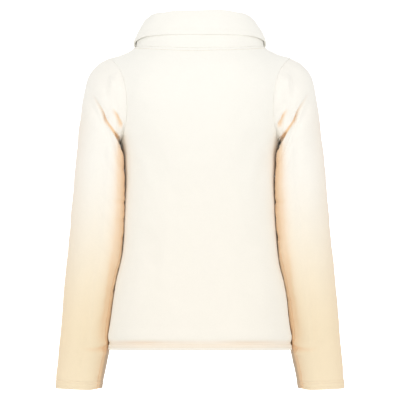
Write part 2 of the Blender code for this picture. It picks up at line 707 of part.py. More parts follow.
def add_zip(front_inner, tape_cloth, teeth, metal):
    line = zip_line(front_inner)
    heights = line[0][:, 2]
    row = len(heights) - 2 - SLIDER_ROW
    slider = frame_on(line, row)
    wedge_foot = slider @ Vector((0, SLIDER_HALF_LENGTH - WEDGE_LENGTH - PIECE_GAP, 0))
    box_top = HEM_Z + BOX_RISE + BOX_LENGTH
    tape = between(line, box_top + PIECE_GAP, heights[-1] - TAPE_END)
    add_bar("zip_tape_left", tape_sections(tape, 1.0), tape_cloth)
    add_bar("zip_tape_right", tape_sections(tape, -1.0), tape_cloth)
    chain = between(line, box_top + PIECE_GAP, wedge_foot.z)
    add_bar("zip_chain", chain_sections(chain), teeth)
    add_slider(slider, metal)
    pivot = add_pull(slider, metal)
    stop_low = SLIDER_HALF_LENGTH + STOP_RISE
    for name, side in (("zip_stop_left", 1), ("zip_stop_right", -1)):
        in_x, out_x = sorted((side * STOP_IN_X, side * CHAIN_HALF_WIDTH))
        low = (in_x, stop_low, -CHAIN_HALF_DEPTH)
        high = (out_x, stop_low + STOP_LENGTH, CHAIN_HALF_DEPTH)
        add_joined(name, slider, block(low, high), [], [], metal)
    foot = frame_on(line, 0)
    foot.translation = Vector(between(line, HEM_Z + BOX_RISE, box_top)[0][0])
    low = (-BOX_HALF_WIDTH, 0, -BOX_HALF_DEPTH)
    high = (BOX_HALF_WIDTH, BOX_LENGTH, BOX_HALF_DEPTH)
    add_joined("zip_box", foot, block(low, high), [], [], metal)
    return pivot


# ---------------------------------------------------------------- the jacket


def new_material(name, colour, roughness, metallic=0.0):
    material = bpy.data.materials.new(name)
    material.use_nodes = True
    shader = material.node_tree.nodes["Principled BSDF"]
    shader.inputs["Base Color"].default_value = (*colour, 1)
    shader.inputs["Roughness"].default_value = roughness
    shader.inputs["Metallic"].default_value = metallic
    return material


for old in list(bpy.data.objects):
    bpy.data.objects.remove(old, do_unlink=True)

jacket = bpy.data.collections.new("fleece_jacket")
helpers = bpy.data.collections.new("zip_shapes")
bpy.context.scene.collection.children.link(jacket)
bpy.context.scene.collection.children.link(helpers)

fleece = new_material("cream_fleece", (0.86, 0.78, 0.65), 0.95)
tape_cloth = new_material("zip_tape_cloth", (0.80, 0.72, 0.60), 0.85)
teeth = new_material("zip_teeth", (0.82, 0.75, 0.63), 0.45)
metal = new_material("zip_metal", (0.72, 0.70, 0.66), 0.30, 1.0)

rings = sleeve_rings()
armhole = armhole_seam(rings)
path, out = collar_path()
neck = neck_seam(path, out)
front_inner = add_body(armhole, neck, fleece)
add_sleeves(rings, armhole, fleece)
add_collar(path, out, neck, fleece)
pivot = add_zip(front_inner, tape_cloth, teeth, metal)
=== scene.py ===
from collections import namedtuple

import bmesh
import bpy
import numpy as np
from mathutils import Matrix, Vector
from mathutils.bvhtree import BVHTree


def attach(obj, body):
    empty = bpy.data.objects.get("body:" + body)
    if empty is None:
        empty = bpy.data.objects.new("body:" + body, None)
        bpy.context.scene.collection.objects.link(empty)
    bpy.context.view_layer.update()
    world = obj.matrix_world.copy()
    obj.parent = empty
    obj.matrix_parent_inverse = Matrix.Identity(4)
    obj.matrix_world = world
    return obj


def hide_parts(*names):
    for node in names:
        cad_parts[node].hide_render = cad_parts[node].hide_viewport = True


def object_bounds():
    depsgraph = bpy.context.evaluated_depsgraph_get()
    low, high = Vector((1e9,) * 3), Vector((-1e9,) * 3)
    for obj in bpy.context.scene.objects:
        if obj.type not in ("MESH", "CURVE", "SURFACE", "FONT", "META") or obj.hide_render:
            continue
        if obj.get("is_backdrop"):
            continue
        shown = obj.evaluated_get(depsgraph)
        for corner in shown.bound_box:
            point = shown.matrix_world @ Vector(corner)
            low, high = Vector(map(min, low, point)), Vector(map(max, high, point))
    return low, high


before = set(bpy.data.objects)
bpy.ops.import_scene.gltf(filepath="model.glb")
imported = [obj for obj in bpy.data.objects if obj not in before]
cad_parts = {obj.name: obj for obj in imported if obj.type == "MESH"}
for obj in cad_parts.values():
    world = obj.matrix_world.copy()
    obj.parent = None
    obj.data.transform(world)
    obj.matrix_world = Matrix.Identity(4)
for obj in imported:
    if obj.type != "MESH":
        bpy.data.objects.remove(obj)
cad_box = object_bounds()


# ---------------------------------------------------------------- the back
# One piece of cream microfleece from the neck to the hem, brushed on both sides. It is sewn to the
# fronts at the shoulders and the sides, and its hem is turned up inside and held by two rows of
# stitches. The cloth is the same smooth surface as the frame's, cut far finer, with its creases.

WALL = 0.0025
MITRE_LIMIT = 2.0  # the longest step through the cloth at a seam, in walls

Section = namedtuple("Section", "z side front back")
SECTIONS = [
    Section(-0.600, 0.1735, 0.1180, 0.1160),
    Section(-0.570, 0.1735, 0.1180, 0.1160),
    Section(-0.540, 0.1728, 0.1175, 0.1160),
    Section(-0.500, 0.1688, 0.1160, 0.1140),
    Section(-0.464, 0.1640, 0.1140, 0.1110),
    Section(-0.433, 0.1578, 0.1125, 0.1070),
    Section(-0.405, 0.1515, 0.1115, 0.1030),
    Section(-0.370, 0.1477, 0.1110, 0.0990),
    Section(-0.330, 0.1457, 0.1130, 0.0985),
    Section(-0.285, 0.1443, 0.1180, 0.1010),
    Section(-0.235, 0.1435, 0.1225, 0.1060),
    Section(-0.196, 0.1467, 0.1225, 0.1100),
    Section(-0.177, 0.1510, 0.1215, 0.1120),
    Section(-0.120, 0.1620, 0.1150, 0.1140),
    Section(-0.060, 0.1760, 0.1010, 0.1100),
    Section(-0.010, 0.1930, 0.0930, 0.1010),
    Section(0.050, 0.2050, 0.0880, 0.0900),
]
HEM_Z = -0.570
UNDERARM_Z = -0.177
SQUARENESS = 2.4
ROUND = 0.100  # how far below the ridge the cloth has turned to hang straight
RIDGE = [(0.0, 0.046), (0.06, 0.037), (0.1, 0.0215), (0.122, 0.0085), (0.137, -0.001)]
RIDGE += [(0.152, -0.0075), (0.165, -0.0105), (0.173, -0.013), (0.195, -0.021), (0.22, -0.033)]
RIDGE_PASSES = 6
NUDGE = 1e-4  # a small step along the surface, to find which way it faces

BACK, FRONT = 1, -1
NECK_SIDE_X = 0.122
SHOULDER_TIP_X = 0.173
FRONT_EDGE_X = 0.0055
ARMHOLE = {
    BACK: [(0.146, -0.168), (0.1405, -0.150), (0.1375, -0.125), (0.1380, -0.095)],
    FRONT: [(0.1450, -0.169), (0.1360, -0.150), (0.1305, -0.122), (0.1325, -0.088)],
}
ARMHOLE[BACK] += [(0.1435, -0.064), (0.1545, -0.036)]
ARMHOLE[FRONT] += [(0.1415, -0.056), (0.1545, -0.031)]
NECK = {
    BACK: [(0.030, -0.0030), (0.060, -0.0015), (0.088, 0.0015), (0.110, 0.0055)],
    FRONT: [(0.035, -0.0745), (0.065, -0.0640), (0.090, -0.0440), (0.110, -0.0180)],
}
NECK_CENTRE_Z = {BACK: -0.0035, FRONT: -0.0780}
ROW_LEVEL = {BACK: -0.190, FRONT: -0.200}
SIDE_STEPS, ARMHOLE_STEPS, SHOULDER_STEPS, NECK_STEPS = 13, 12, 3, 10
RELAX_PASSES = 5
FINE_STEPS = 600
FINE = 5  # how many times finer than the frame's own grid

# Points of the cloth's grid: close together along its edges, and even between them
EDGE_STEPS = [0, 0.0001, 0.0004, 0.0009, 0.0015, 0.0023, 0.0034]
EVEN_STEP = 0.0008
PANEL_ROWS, PANEL_COLUMNS = 150, 50

# Edges: the outer face rolls into a seam, a turned-up hem is two walls thick
SEAM_ROUND = 0.0009
SEAM_BLEND = 0.012  # from a seam to where the cloth stands square to its own face
HEM_DEPTH, HEM_EXTRA = 0.0125, 0.0020
ALLOWANCE_DEPTH, ALLOWANCE_EXTRA = 0.008, 0.0016
STEP_SOFTNESS = 0.0012
HEM_ROWS = (0.0051, 0.0108)
STITCH_SINK, STITCH_SPREAD = 0.0006, 0.0009


def fine_edge(count):
    """Distances from an edge: close ones first, then this many even steps."""
    return EDGE_STEPS + [EDGE_STEPS[-1] + EVEN_STEP * k for k in range(1, count + 1)]


HEM_STEPS, STITCHED_STEPS = fine_edge(16), fine_edge(7)


def unit(vectors):
    return vectors / np.linalg.norm(vectors, axis=-1, keepdims=True)


def spline(knots, values):
    """A function that runs smoothly through the values at these knots."""
    knots = np.asarray(knots, float)
    values = np.asarray(values, float)
    slopes = np.gradient(values, knots, axis=0)

    def at(place):
        place = np.clip(place, knots[0], knots[-1])
        left = np.clip(np.searchsorted(knots, place) - 1, 0, len(knots) - 2)
        span = knots[left + 1] - knots[left]
        share = (place - knots[left]) / span
        wider = np.shape(place) + (1,) * (values.ndim - 1)
        span, share = span.reshape(wider), share.reshape(wider)
        rest = 1 - share
        start = values[left] * (1 + 2 * share) * rest**2 + slopes[left] * span * share * rest**2
        end = values[left + 1] * (3 - 2 * share) - slopes[left + 1] * span * rest
        return start + end * share**2

    return at


LEVELS = [section.z for section in SECTIONS]
side_at = spline(LEVELS, [section.side for section in SECTIONS])
front_at = spline(LEVELS, [section.front for section in SECTIONS])
back_at = spline(LEVELS, [section.back for section in SECTIONS])
ridge_at = spline(*zip(*RIDGE))


def level_radius(turn, z):
    """Distance from the axis to the body's level section at z, in the direction turn."""
    depth = np.where(np.cos(turn) > 0, back_at(z), front_at(z))
    across = np.abs(np.sin(turn) / side_at(z)) ** SQUARENESS
    along = np.abs(np.cos(turn) / depth) ** SQUARENESS
    return (across + along) ** (-1 / SQUARENESS)


def body_point(turn, down):
    """The outer surface at an angle from centre back, and a length of cloth below the ridge."""
    rounding = np.minimum(down / ROUND, np.pi / 2)
    drop = ROUND * (1 - np.cos(rounding)) + np.maximum(down - ROUND * np.pi / 2, 0)
    x = 0.5 * SHOULDER_TIP_X * np.ones_like(turn)
    for _ in range(RIDGE_PASSES):
        z = ridge_at(np.abs(x)) - drop
        reach = level_radius(turn, z)
        x = reach * np.sin(turn)
    return np.stack([x, reach * np.cos(turn) * np.sin(rounding), z], -1)


def body_normal(turn, down):
    around = body_point(turn + NUDGE, down) - body_point(turn - NUDGE, down)
    downward = body_point(turn, down + NUDGE) - body_point(turn, down - NUDGE)
    return unit(np.cross(around, downward))


def body_place(x, z, facing):
    """(turn, down) of the surface at x and z, on the half that faces back or front."""
    depth = back_at(z) if facing == BACK else front_at(z)
    share = np.clip(1 - (x / side_at(z)) ** SQUARENESS, 0, 1)
    turn = np.arctan2(x, facing * depth * share ** (1 / SQUARENESS))
    drop = np.maximum(ridge_at(x) - z, 0)
    rounded_part = ROUND * np.arccos(1 - np.minimum(drop / ROUND, 1))
    return np.stack([turn, rounded_part + np.maximum(drop - ROUND, 0)], -1)


def places_along(outline, facing, steps):
    """Places equally far apart on the cloth, along the smooth curve through (x, z) points."""
    outline = np.array(outline)
    lengths = np.linalg.norm(np.diff(outline, axis=0), axis=1)
    run = np.concatenate([[0], np.cumsum(lengths)])
    close_at_ends = (1 - np.cos(np.linspace(0, np.pi, FINE_STEPS))) / 2
    fine = spline(run, outline)(run[-1] * close_at_ends)
    places = body_place(fine[:, 0], fine[:, 1], facing)
    on_cloth = body_point(places[:, 0], places[:, 1])
    cloth_run = np.concatenate([[0], np.cumsum(np.linalg.norm(np.diff(on_cloth, axis=0), axis=1))])
    wanted = np.linspace(0, cloth_run[-1], steps + 1)
    return np.stack([np.interp(wanted, cloth_run, places[:, k]) for k in (0, 1)], -1)


def centre_x(facing):
    return 0.0 if facing == BACK else FRONT_EDGE_X


def armhole_places(facing, fine):
    """From the underarm up to the shoulder tip."""
    underarm = (float(side_at(UNDERARM_Z)), UNDERARM_Z)
    tip = (SHOULDER_TIP_X, float(ridge_at(SHOULDER_TIP_X)))
    places = places_along([underarm, *ARMHOLE[facing], tip], facing, ARMHOLE_STEPS * fine)
    places[0, 0] = np.pi / 2
    places[-1, 1] = 0
    return places


def neck_places(facing, fine):
    """From the centre to the shoulder seam."""
    centre = (centre_x(facing), NECK_CENTRE_Z[facing])
    side = (NECK_SIDE_X, float(ridge_at(NECK_SIDE_X)))
    places = places_along([centre, *NECK[facing], side], facing, NECK_STEPS * fine)
    places[-1, 1] = 0
    return places


def patch_places(facing, fine):
    """A half panel's grid: rows from the hem to the neck, columns from the centre outwards."""
    hem_turn = body_place(centre_x(facing), HEM_Z, facing)[0]
    turns = np.linspace(hem_turn, np.pi / 2, NECK_STEPS * fine + 1)
    hem_x = level_radius(turns, HEM_Z) * np.sin(turns)
    hem = np.stack([turns, body_place(hem_x, HEM_Z, facing)[:, 1]], -1)

    side_z = np.linspace(HEM_Z, UNDERARM_Z, SIDE_STEPS * fine + 1)
    side = body_place(side_at(side_z), side_z, facing)
    side[:, 0] = np.pi / 2
    shoulder_x = np.linspace(SHOULDER_TIP_X, NECK_SIDE_X, SHOULDER_STEPS * fine + 1)[1:]
    shoulder = body_place(shoulder_x, ridge_at(shoulder_x), facing)
    shoulder[:, 1] = 0
    outer_edge = np.concatenate([side, armhole_places(facing, fine)[1:], shoulder])

    low_z = np.linspace(HEM_Z, ROW_LEVEL[facing], SIDE_STEPS * fine + 1)
    high_steps = (ARMHOLE_STEPS + SHOULDER_STEPS) * fine
    high_z = np.linspace(ROW_LEVEL[facing], NECK_CENTRE_Z[facing], high_steps + 1)
    centre = body_place(centre_x(facing), np.concatenate([low_z, high_z[1:]]), facing)
    neck = neck_places(facing, fine)

    u = np.linspace(0, 1, len(hem))[None, :, None]
    v = np.linspace(0, 1, len(centre))[:, None, None]
    between_ends = (1 - v) * hem[None] + v * neck[None]
    between_sides = (1 - u) * centre[:, None] + u * outer_edge[:, None]
    low = (1 - u) * hem[0] + u * hem[-1]
    high = (1 - u) * neck[0] + u * neck[-1]
    places = between_ends + between_sides - (1 - v) * low - v * high
    for _ in range(RELAX_PASSES * fine**2):
        rows, columns = places[:-2, 1:-1] + places[2:, 1:-1], places[1:-1, :-2] + places[1:-1, 2:]
        places[1:-1, 1:-1] = (rows + columns) / 4
    return places


# ---- seams that the pieces share

Seam = namedtuple("Seam", "points through")


def seam_between(points, first_normals, second_normals):
    """A seam line, and its steps from the inner to the outer surface."""
    middle = unit(first_normals + second_normals)
    share = np.maximum((middle * first_normals).sum(-1), 1 / MITRE_LIMIT)
    return Seam(points, middle * (WALL / share)[:, None])


def armhole_loop(fine):
    """(turn, down) round the armhole: tip, back, underarm, front."""
    back = armhole_places(BACK, fine)[::-1]
    front = armhole_places(FRONT, fine)
    return np.concatenate([back, front[1:-1]])


def neck_line(fine):
    """(turn, down) along the left half of the neck, from centre back to centre front."""
    return np.concatenate([neck_places(BACK, fine), neck_places(FRONT, fine)[-2::-1]])


def at_seam(seam, points):
    """The seam's step through the cloth at the point of its line that is nearest to each."""
    apart = np.linalg.norm(points[:, None] - seam.points[None], axis=-1)
    return seam.through[apart.argmin(axis=1)]


# ---- a cloth's grid

def run_along(points, axis):
    """How far each grid point is from the start of its line, along the cloth."""
    run = np.cumsum(np.linalg.norm(np.diff(points, axis=axis), axis=-1), axis=axis)
    return np.concatenate([np.zeros_like(np.take(run, [0], axis=axis)), run], axis=axis)


def spaced(length, start, end, steps):
    """Distances along a line: those of start and end at its ends, and even steps between."""
    middle = np.linspace(start[-1], length - end[-1], steps + 1)
    return np.concatenate([start[:-1], middle, length - np.array(end[-2::-1])])


def respaced(values, run, start, end, steps):
    """The same grid lines, with their points at other distances along them."""
    lines = []
    for line, along in zip(values, run):
        wanted = spaced(along[-1], start, end, steps)
        lines.append([np.interp(wanted, along, channel) for channel in line.T])
    return np.array(lines).transpose(0, 2, 1)


def turned(grid):
    return grid.swapaxes(0, 1)


def edge_distances(points):
    up, across = run_along(points, 0), run_along(points, 1)
    return {"low": up, "high": up[-1:] - up, "first": across, "last": across[:, -1:] - across}


def smooth(share):
    share = np.clip(share, 0, 1)
    return share * share * (3 - 2 * share)


def inside(distance, reach):
    """1 nearer than reach to an edge, and 0 beyond it, with a soft step."""
    return smooth((reach - distance) / STEP_SOFTNESS + 0.5)


def bell(distance, spread):
    return np.exp(-((distance / spread) ** 2))


def rounded(distance, radius):
    """How far a round edge falls away at a distance from the edge."""
    short = np.clip(1 - distance / radius, 0, 1)
    return radius * (1 - np.sqrt(1 - short**2))


WAVE_COUNT, WAVE_LENGTHS, WAVE_PEAK = 14, (0.7, 1.5), 1.8
Ripple = namedtuple("Ripple", "height length")


def waves(points, wavelength, seed):
    """Uneven smooth waves, mostly between -1 and 1, the same on every run."""
    draws = np.random.default_rng(seed)
    directions = unit(draws.normal(size=(WAVE_COUNT, 3)))
    lengths = wavelength * draws.uniform(*WAVE_LENGTHS, WAVE_COUNT)
    phases = draws.uniform(0, 2 * np.pi, WAVE_COUNT)
    angles = 2 * np.pi * points @ (directions / lengths[:, None]).T + phases
    return np.sin(angles).sum(-1) * np.sqrt(2 / WAVE_COUNT) / WAVE_PEAK


def ripples(points, kinds, seed):
    """Waves of several kinds together, each kind with the next seed."""
    return sum(kind.height * waves(points, kind.length, seed + k) for k, kind in enumerate(kinds))


# Creases: troughs along smooth (x, z) routes, as seen from behind or from the front. A lip is the
# share of the depth that the cloth stands up on both sides. Fade is the share of the route over
# which it deepens at its start and shallows at its end. Steep narrows the trough on the side that
# lies to the left of its route, where the cloth folds over it. Tan is how much painted shade, as a
# tan colour, goes into the trough.
Crease = namedtuple("Crease", "piece facing depth width lip fade route tan steep", defaults=(0.0, 1.0))
CREASES = []
FOLD_FADE = 0.025  # depth over which a crease fades out towards the side
TAN_WIDTH = 0.8  # of a crease's own width
LIP_PLACE, LIP_SPREAD = 1.9, 0.9  # of its width
ROUTE_STEPS, UNEVEN_DEPTH = 24, 0.25


def add_creases(piece, facing, rows):
    """Each row has a crease's values from its depth on."""
    CREASES.extend(Crease(piece, facing, *row) for row in rows)


add_creases("body", BACK, [
    (0.0030, 0.024, 0.0, (0.3, 0.3), [(0.118, -0.150), (0.075, -0.260)]),
    (0.0030, 0.026, 0.0, (0.3, 0.3), [(0.100, -0.330), (0.085, -0.500)]),
    (0.0025, 0.024, 0.0, (0.3, 0.3), [(0.038, -0.360), (0.033, -0.520)]),
    (0.0014, 0.010, 0.2, (0.4, 0.6), [(0.136, -0.180), (0.118, -0.235), (0.106, -0.300)]),
])
add_creases("body", FRONT, [
    (0.0035, 0.020, 0.0, (0.3, 0.3), [(0.118, -0.160), (0.070, -0.230)]),
    (0.0035, 0.026, 0.0, (0.3, 0.3), [(0.100, -0.330), (0.075, -0.490)]),
    (0.0016, 0.009, 0.3, (0.3, 0.6), [(0.132, -0.165), (0.112, -0.205), (0.085, -0.235)]),
    (0.0014, 0.010, 0.3, (0.5, 0.5), [(0.135, -0.420), (0.122, -0.470), (0.116, -0.530)]),
])


def crease_depth(points, piece, facing, middle_y, uneven):
    """How far the creases of this piece sink each point, on the side that faces this way, and how
    much painted shade, as tan, they put there."""
    total, tan = np.zeros(points.shape[:-1]), np.zeros(points.shape[:-1])
    seen = np.stack([np.abs(points[..., 0]), points[..., 2]], -1)
    for crease in CREASES:
        if (crease.piece, crease.facing) != (piece, facing):
            continue
        route = np.array(crease.route)
        knots = np.linspace(0, 1, len(route))
        line = spline(knots, route)(np.linspace(0, 1, ROUTE_STEPS + 1))
        nearest = np.full(total.shape, np.inf)
        share, width = np.zeros(total.shape), np.full(total.shape, crease.width)
        for k in range(ROUTE_STEPS):
            run = line[k + 1] - line[k]
            along = np.clip((seen - line[k]) @ run / (run @ run), 0, 1)
            offset = seen - line[k] - along[..., None] * run
            apart = np.linalg.norm(offset, axis=-1)
            share = np.where(apart < nearest, (k + along) / ROUTE_STEPS, share)
            beside = (run[0] * offset[..., 1] - run[1] * offset[..., 0]) / np.linalg.norm(run)
            turn_in = smooth(0.5 - beside / crease.width)
            here = crease.width * (1 + (crease.steep - 1) * turn_in)
            width = np.where(apart < nearest, here, width)
            nearest = np.minimum(apart, nearest)
        grows, fades = crease.fade
        strength = smooth(share / grows) if grows else 1.0
        strength = strength * (smooth((1 - share) / fades) if fades else 1.0)
        trough = bell(nearest, width)
        lips = crease.lip * bell(nearest - LIP_PLACE * width, LIP_SPREAD * width)
        total += crease.depth * strength * (trough - lips)
        # painted shade: tan along the trough
        tan += crease.tan * strength * bell(nearest, TAN_WIDTH * width)
    fade = np.clip(facing * (points[..., 1] - middle_y) / FOLD_FADE, 0, 1)
    return total * fade * (1 + UNEVEN_DEPTH * uneven), tan * fade


# ---- the fleece's looks

class Wire:
    """A socket of a material's nodes. Arithmetic on it adds Math nodes."""

    def __init__(self, tree, socket):
        self.tree, self.socket = tree, socket

    def node(self, kind, settings, inputs, output=0):
        """Adds a node: its settings come first, then the values or links of its sockets."""
        made = self.tree.nodes.new(kind)
        for name, value in settings.items():
            setattr(made, name, value)
        for name, value in inputs.items():
            if isinstance(value, Wire):
                self.tree.links.new(value.socket, made.inputs[name])
            else:
                made.inputs[name].default_value = value
        return Wire(self.tree, made.outputs[output])

    def math(self, operation, first, second):
        return self.node("ShaderNodeMath", {"operation": operation}, {0: first, 1: second})

    def __add__(self, other):
        return self.math("ADD", self, other)

    def __sub__(self, other):
        return self.math("SUBTRACT", self, other)

    def __rsub__(self, other):
        return self.math("SUBTRACT", other, self)

    def __mul__(self, other):
        return self.math("MULTIPLY", self, other)

    __radd__, __rmul__ = __add__, __mul__


def start_material(name, constants):
    """A material, its Principled shader with these constants, and its object coordinates."""
    material = bpy.data.materials.new(name)
    material.use_nodes = True
    tree = material.node_tree
    shader = tree.nodes["Principled BSDF"]
    for socket, value in constants.items():
        shader.inputs[socket].default_value = value
    place = Wire(tree, tree.nodes.new("ShaderNodeTexCoord").outputs["Object"])
    return material, shader, place


def noise(place, scale, detail=2.0):
    return place.node("ShaderNodeTexNoise", {}, {"Vector": place, "Scale": scale, "Detail": detail})


def mixed(share, first, second):
    """A colour between two colours."""
    inputs = {0: share, 6: first, 7: second}
    return share.node("ShaderNodeMix", {"data_type": "RGBA"}, inputs, output=2)


def brightened(colour, factor):
    return colour.node("ShaderNodeVectorMath", {"operation": "SCALE"}, {0: colour, "Scale": factor})


def connect(wire, shader, socket):
    wire.tree.links.new(wire.socket, shader.inputs[socket])


def add_bump(height, shader, strength, distance):
    inputs = {"Strength": strength, "Distance": distance, "Height": height}
    connect(height.node("ShaderNodeBump", {}, inputs), shader, "Normal")


FLEECE_SHADER = {"Sheen Weight": 0.25, "Sheen Roughness": 0.45, "Specular IOR Level": 0.15}
NAP_SCALE, TUFT_SCALE, MOTTLE_SCALE = 1100.0, 330.0, 40.0
NAP_LIGHT, TUFT_LIGHT, MOTTLE_LIGHT, LEAST_LIGHT = 0.04, 0.03, 0.02, 0.955
FLEECE_ROUGH, TUFT_ROUGH, NAP_STRENGTH, NAP_DEPTH = 0.86, 0.12, 0.35, 0.0007
SHADOW_TAN, SHADOW_BROWN = (0.88, 0.60, 0.36, 1), (0.42, 0.33, 0.25, 1)


def fleece(name, high, low, low_z, high_z):
    """Brushed fleece whose colour runs from low to high up the piece, a painted gradient of light and
    shade, with a fine nap in small tufts. Its painted shade, kept in a vertex attribute, takes it to
    a painted tan shade at 1, and on to a painted brown shadow at 2."""
    material, shader, place = start_material(name, FLEECE_SHADER)
    z = place.node("ShaderNodeSeparateXYZ", {}, {"Vector": place}, output=2)
    ends = {"Value": z, "From Min": low_z, "From Max": high_z}
    share = z.node("ShaderNodeMapRange", {"interpolation_type": "SMOOTHSTEP"}, ends)
    painted_shade = z.node("ShaderNodeAttribute", {"attribute_name": "painted_shade"}, {}, output=2)
    nap, tufts, mottle = noise(place, NAP_SCALE), noise(place, TUFT_SCALE), noise(place, MOTTLE_SCALE)
    colour = mixed(painted_shade - 1.0, mixed(painted_shade, mixed(share, low, high), SHADOW_TAN), SHADOW_BROWN)
    lightness = LEAST_LIGHT + NAP_LIGHT * nap + TUFT_LIGHT * tufts + MOTTLE_LIGHT * mottle
    connect(brightened(colour, lightness), shader, "Base Color")
    connect(FLEECE_ROUGH + TUFT_ROUGH * tufts, shader, "Roughness")
    add_bump(0.5 * nap + 0.5 * tufts, shader, NAP_STRENGTH, NAP_DEPTH)
    return material


# ---- turning a grid into a closed cloth

def add_mesh(name, points, faces, material):
    mesh = bpy.data.meshes.new(name)
    mesh.from_pydata(np.asarray(points, float).reshape(-1, 3), [], faces)
    mesh.shade_smooth()
    mesh.materials.append(material)
    piece = bpy.data.objects.new(name, mesh)
    bpy.context.scene.collection.objects.link(piece)
    return piece


def faced_out(piece, sharp_from=None):
    """Turns the faces of a closed piece outwards."""
    shape = bmesh.new()
    shape.from_mesh(piece.data)
    bmesh.ops.recalc_face_normals(shape, faces=shape.faces)
    shape.to_mesh(piece.data)
    shape.free()
    if sharp_from:
        piece.data.set_sharp_from_angle(angle=np.radians(sharp_from))
    return piece


def wall_faces(rows, columns):
    index = np.arange(rows * columns).reshape(rows, columns)
    corners = [index[:-1, :-1], index[:-1, 1:], index[1:, 1:], index[1:, :-1]]
    quads = np.stack(corners, -1).reshape(-1, 4)
    edge = np.concatenate([index[0, :-1], index[:-1, -1], index[-1, :0:-1], index[:0:-1, 0]])
    following, count = np.roll(edge, -1), rows * columns
    rims = np.stack([following, edge, edge + count, following + count], -1)
    return np.concatenate([quads, quads[:, ::-1] + count, rims]).tolist()


FOLD_ROUND, CLOTH_SHARP = 0.97, 55  # share of half the thickness, and degrees


def add_cloth(name, points, inward, edges, extra, painted_shade, material):
    """A closed wall on a grid of outer points. edges says which sides are seams, and which are
    folded over; extra is the cloth that lies doubled on the inside."""
    away = edge_distances(points)
    thickness = WALL + extra
    sink, rise = np.zeros_like(thickness), np.zeros_like(thickness)
    for side, kind in edges.items():
        if kind == "seam":
            sink = np.maximum(sink, rounded(away[side], SEAM_ROUND))
        else:
            falls = FOLD_ROUND * rounded(away[side], thickness / 2)
            sink, rise = np.maximum(sink, falls), np.maximum(rise, falls)
    outer = points + inward * sink[..., None]
    inner = points + inward * (thickness - rise)[..., None]
    both = np.concatenate([outer.reshape(-1, 3), inner.reshape(-1, 3)])
    piece = faced_out(add_mesh(name, both, wall_faces(*points.shape[:2]), material), CLOTH_SHARP)
    # the painted shade is kept on the outer face's points, and none on the inner face's
    values = np.concatenate([painted_shade.ravel(), np.zeros(painted_shade.size)])
    piece.data.attributes.new("painted_shade", "FLOAT", "POINT").data.foreach_set("value", values)
    return piece, outer


# ---- sewing: each stitch is a short length of thread that dips into the cloth at both ends

STITCH_PITCH, STITCH_SPACE = 0.0029, 0.0005
THREAD_RADIUS, THREAD_SIDES = 0.00026, 6
THREAD_STATIONS = [(0.0, -0.0003, 0.6), (0.15, 0.0001, 1.0), (0.5, 0.0002, 1.0), (0.85, 0.0001, 1.0)]
THREAD_STATIONS += [(1.0, -0.0003, 0.6)]  # share of its length, height over the cloth, and girth


def stitch_line(face, inward, away, side, distance):
    """The line on a cloth that keeps this distance from one of its edges, and the way off it."""
    grid, away = np.concatenate([face, -inward], axis=-1), away[side]
    if side in ("low", "high"):
        grid, away = turned(grid), turned(away)
    if side in ("high", "last"):
        grid, away = grid[:, ::-1], away[:, ::-1]
    rows = zip(grid, away)
    return np.array([[np.interp(distance, run, channel) for channel in row.T] for row, run in rows])


def tube_faces(count, stations, sides):
    """Quads and end caps for count tubes, each of these stations and sides."""
    index = np.arange(stations * sides).reshape(stations, sides)
    after = np.roll(index, -1, axis=1)
    quads = np.stack([index[:-1], after[:-1], after[1:], index[1:]], -1).reshape(-1, 4)
    shift = (np.arange(count) * stations * sides)[:, None, None]
    caps = np.stack([index[0, ::-1], index[-1]])
    tubes, ends = (quads[None] + shift).reshape(-1, 4), (caps[None] + shift).reshape(-1, sides)
    return tubes.tolist() + ends.tolist()


def sew(name, lines, material):
    """Rows of stitches along these lines, as one piece."""
    points = []
    for line in lines:
        run = run_along(line[None, :, :3], 1)[0]
        count = int(run[-1] / STITCH_PITCH)
        starts = np.linspace(0, run[-1], count + 1)[:-1, None] + STITCH_SPACE / 2
        share, height, girth = np.array(THREAD_STATIONS).T
        wanted = starts + share * (run[-1] / count - STITCH_SPACE)
        places = np.stack([np.interp(wanted, run, channel) for channel in line.T], -1)
        off = unit(places[..., 3:])
        middle = places[..., :3] + off * height[:, None]
        beside = unit(np.cross(off, np.gradient(middle, axis=1)))
        angle = np.linspace(0, 2 * np.pi, THREAD_SIDES, endpoint=False)[:, None]
        radius = (THREAD_RADIUS * girth)[:, None, None]
        round_it = np.cos(angle) * beside[..., None, :] + np.sin(angle) * off[..., None, :]
        points.append((middle[..., None, :] + radius * round_it).reshape(-1, 3))
    points = np.concatenate(points)
    stitches = len(points) // (len(THREAD_STATIONS) * THREAD_SIDES)
    faces = tube_faces(stitches, len(THREAD_STATIONS), THREAD_SIDES)
    piece = faced_out(add_mesh(name, points, faces, material))
    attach(piece, "jacket")
    return piece


THREAD_SHADER = {"Roughness": 0.7, "Specular IOR Level": 0.3}
STRAND_SCALE, SHADE_SCALE, STRAND_DARK, STRAND_LIGHT = 2600.0, 60.0, 0.94, 0.12
STRAND_STRENGTH, STRAND_DEPTH = 0.4, 0.0001


def thread(name, first, second):
    """Spun thread between two shades, with fine strands that show as light and dark."""
    material, shader, place = start_material(name, THREAD_SHADER)
    strands = noise(place, STRAND_SCALE, 1.0)
    shade = mixed(noise(place, SHADE_SCALE), first, second)
    connect(brightened(shade, STRAND_DARK + STRAND_LIGHT * strands), shader, "Base Color")
    add_bump(strands, shader, STRAND_STRENGTH, STRAND_DEPTH)
    return material


# ---- what the hem, the seams and the sleeves do to the cloth beside them

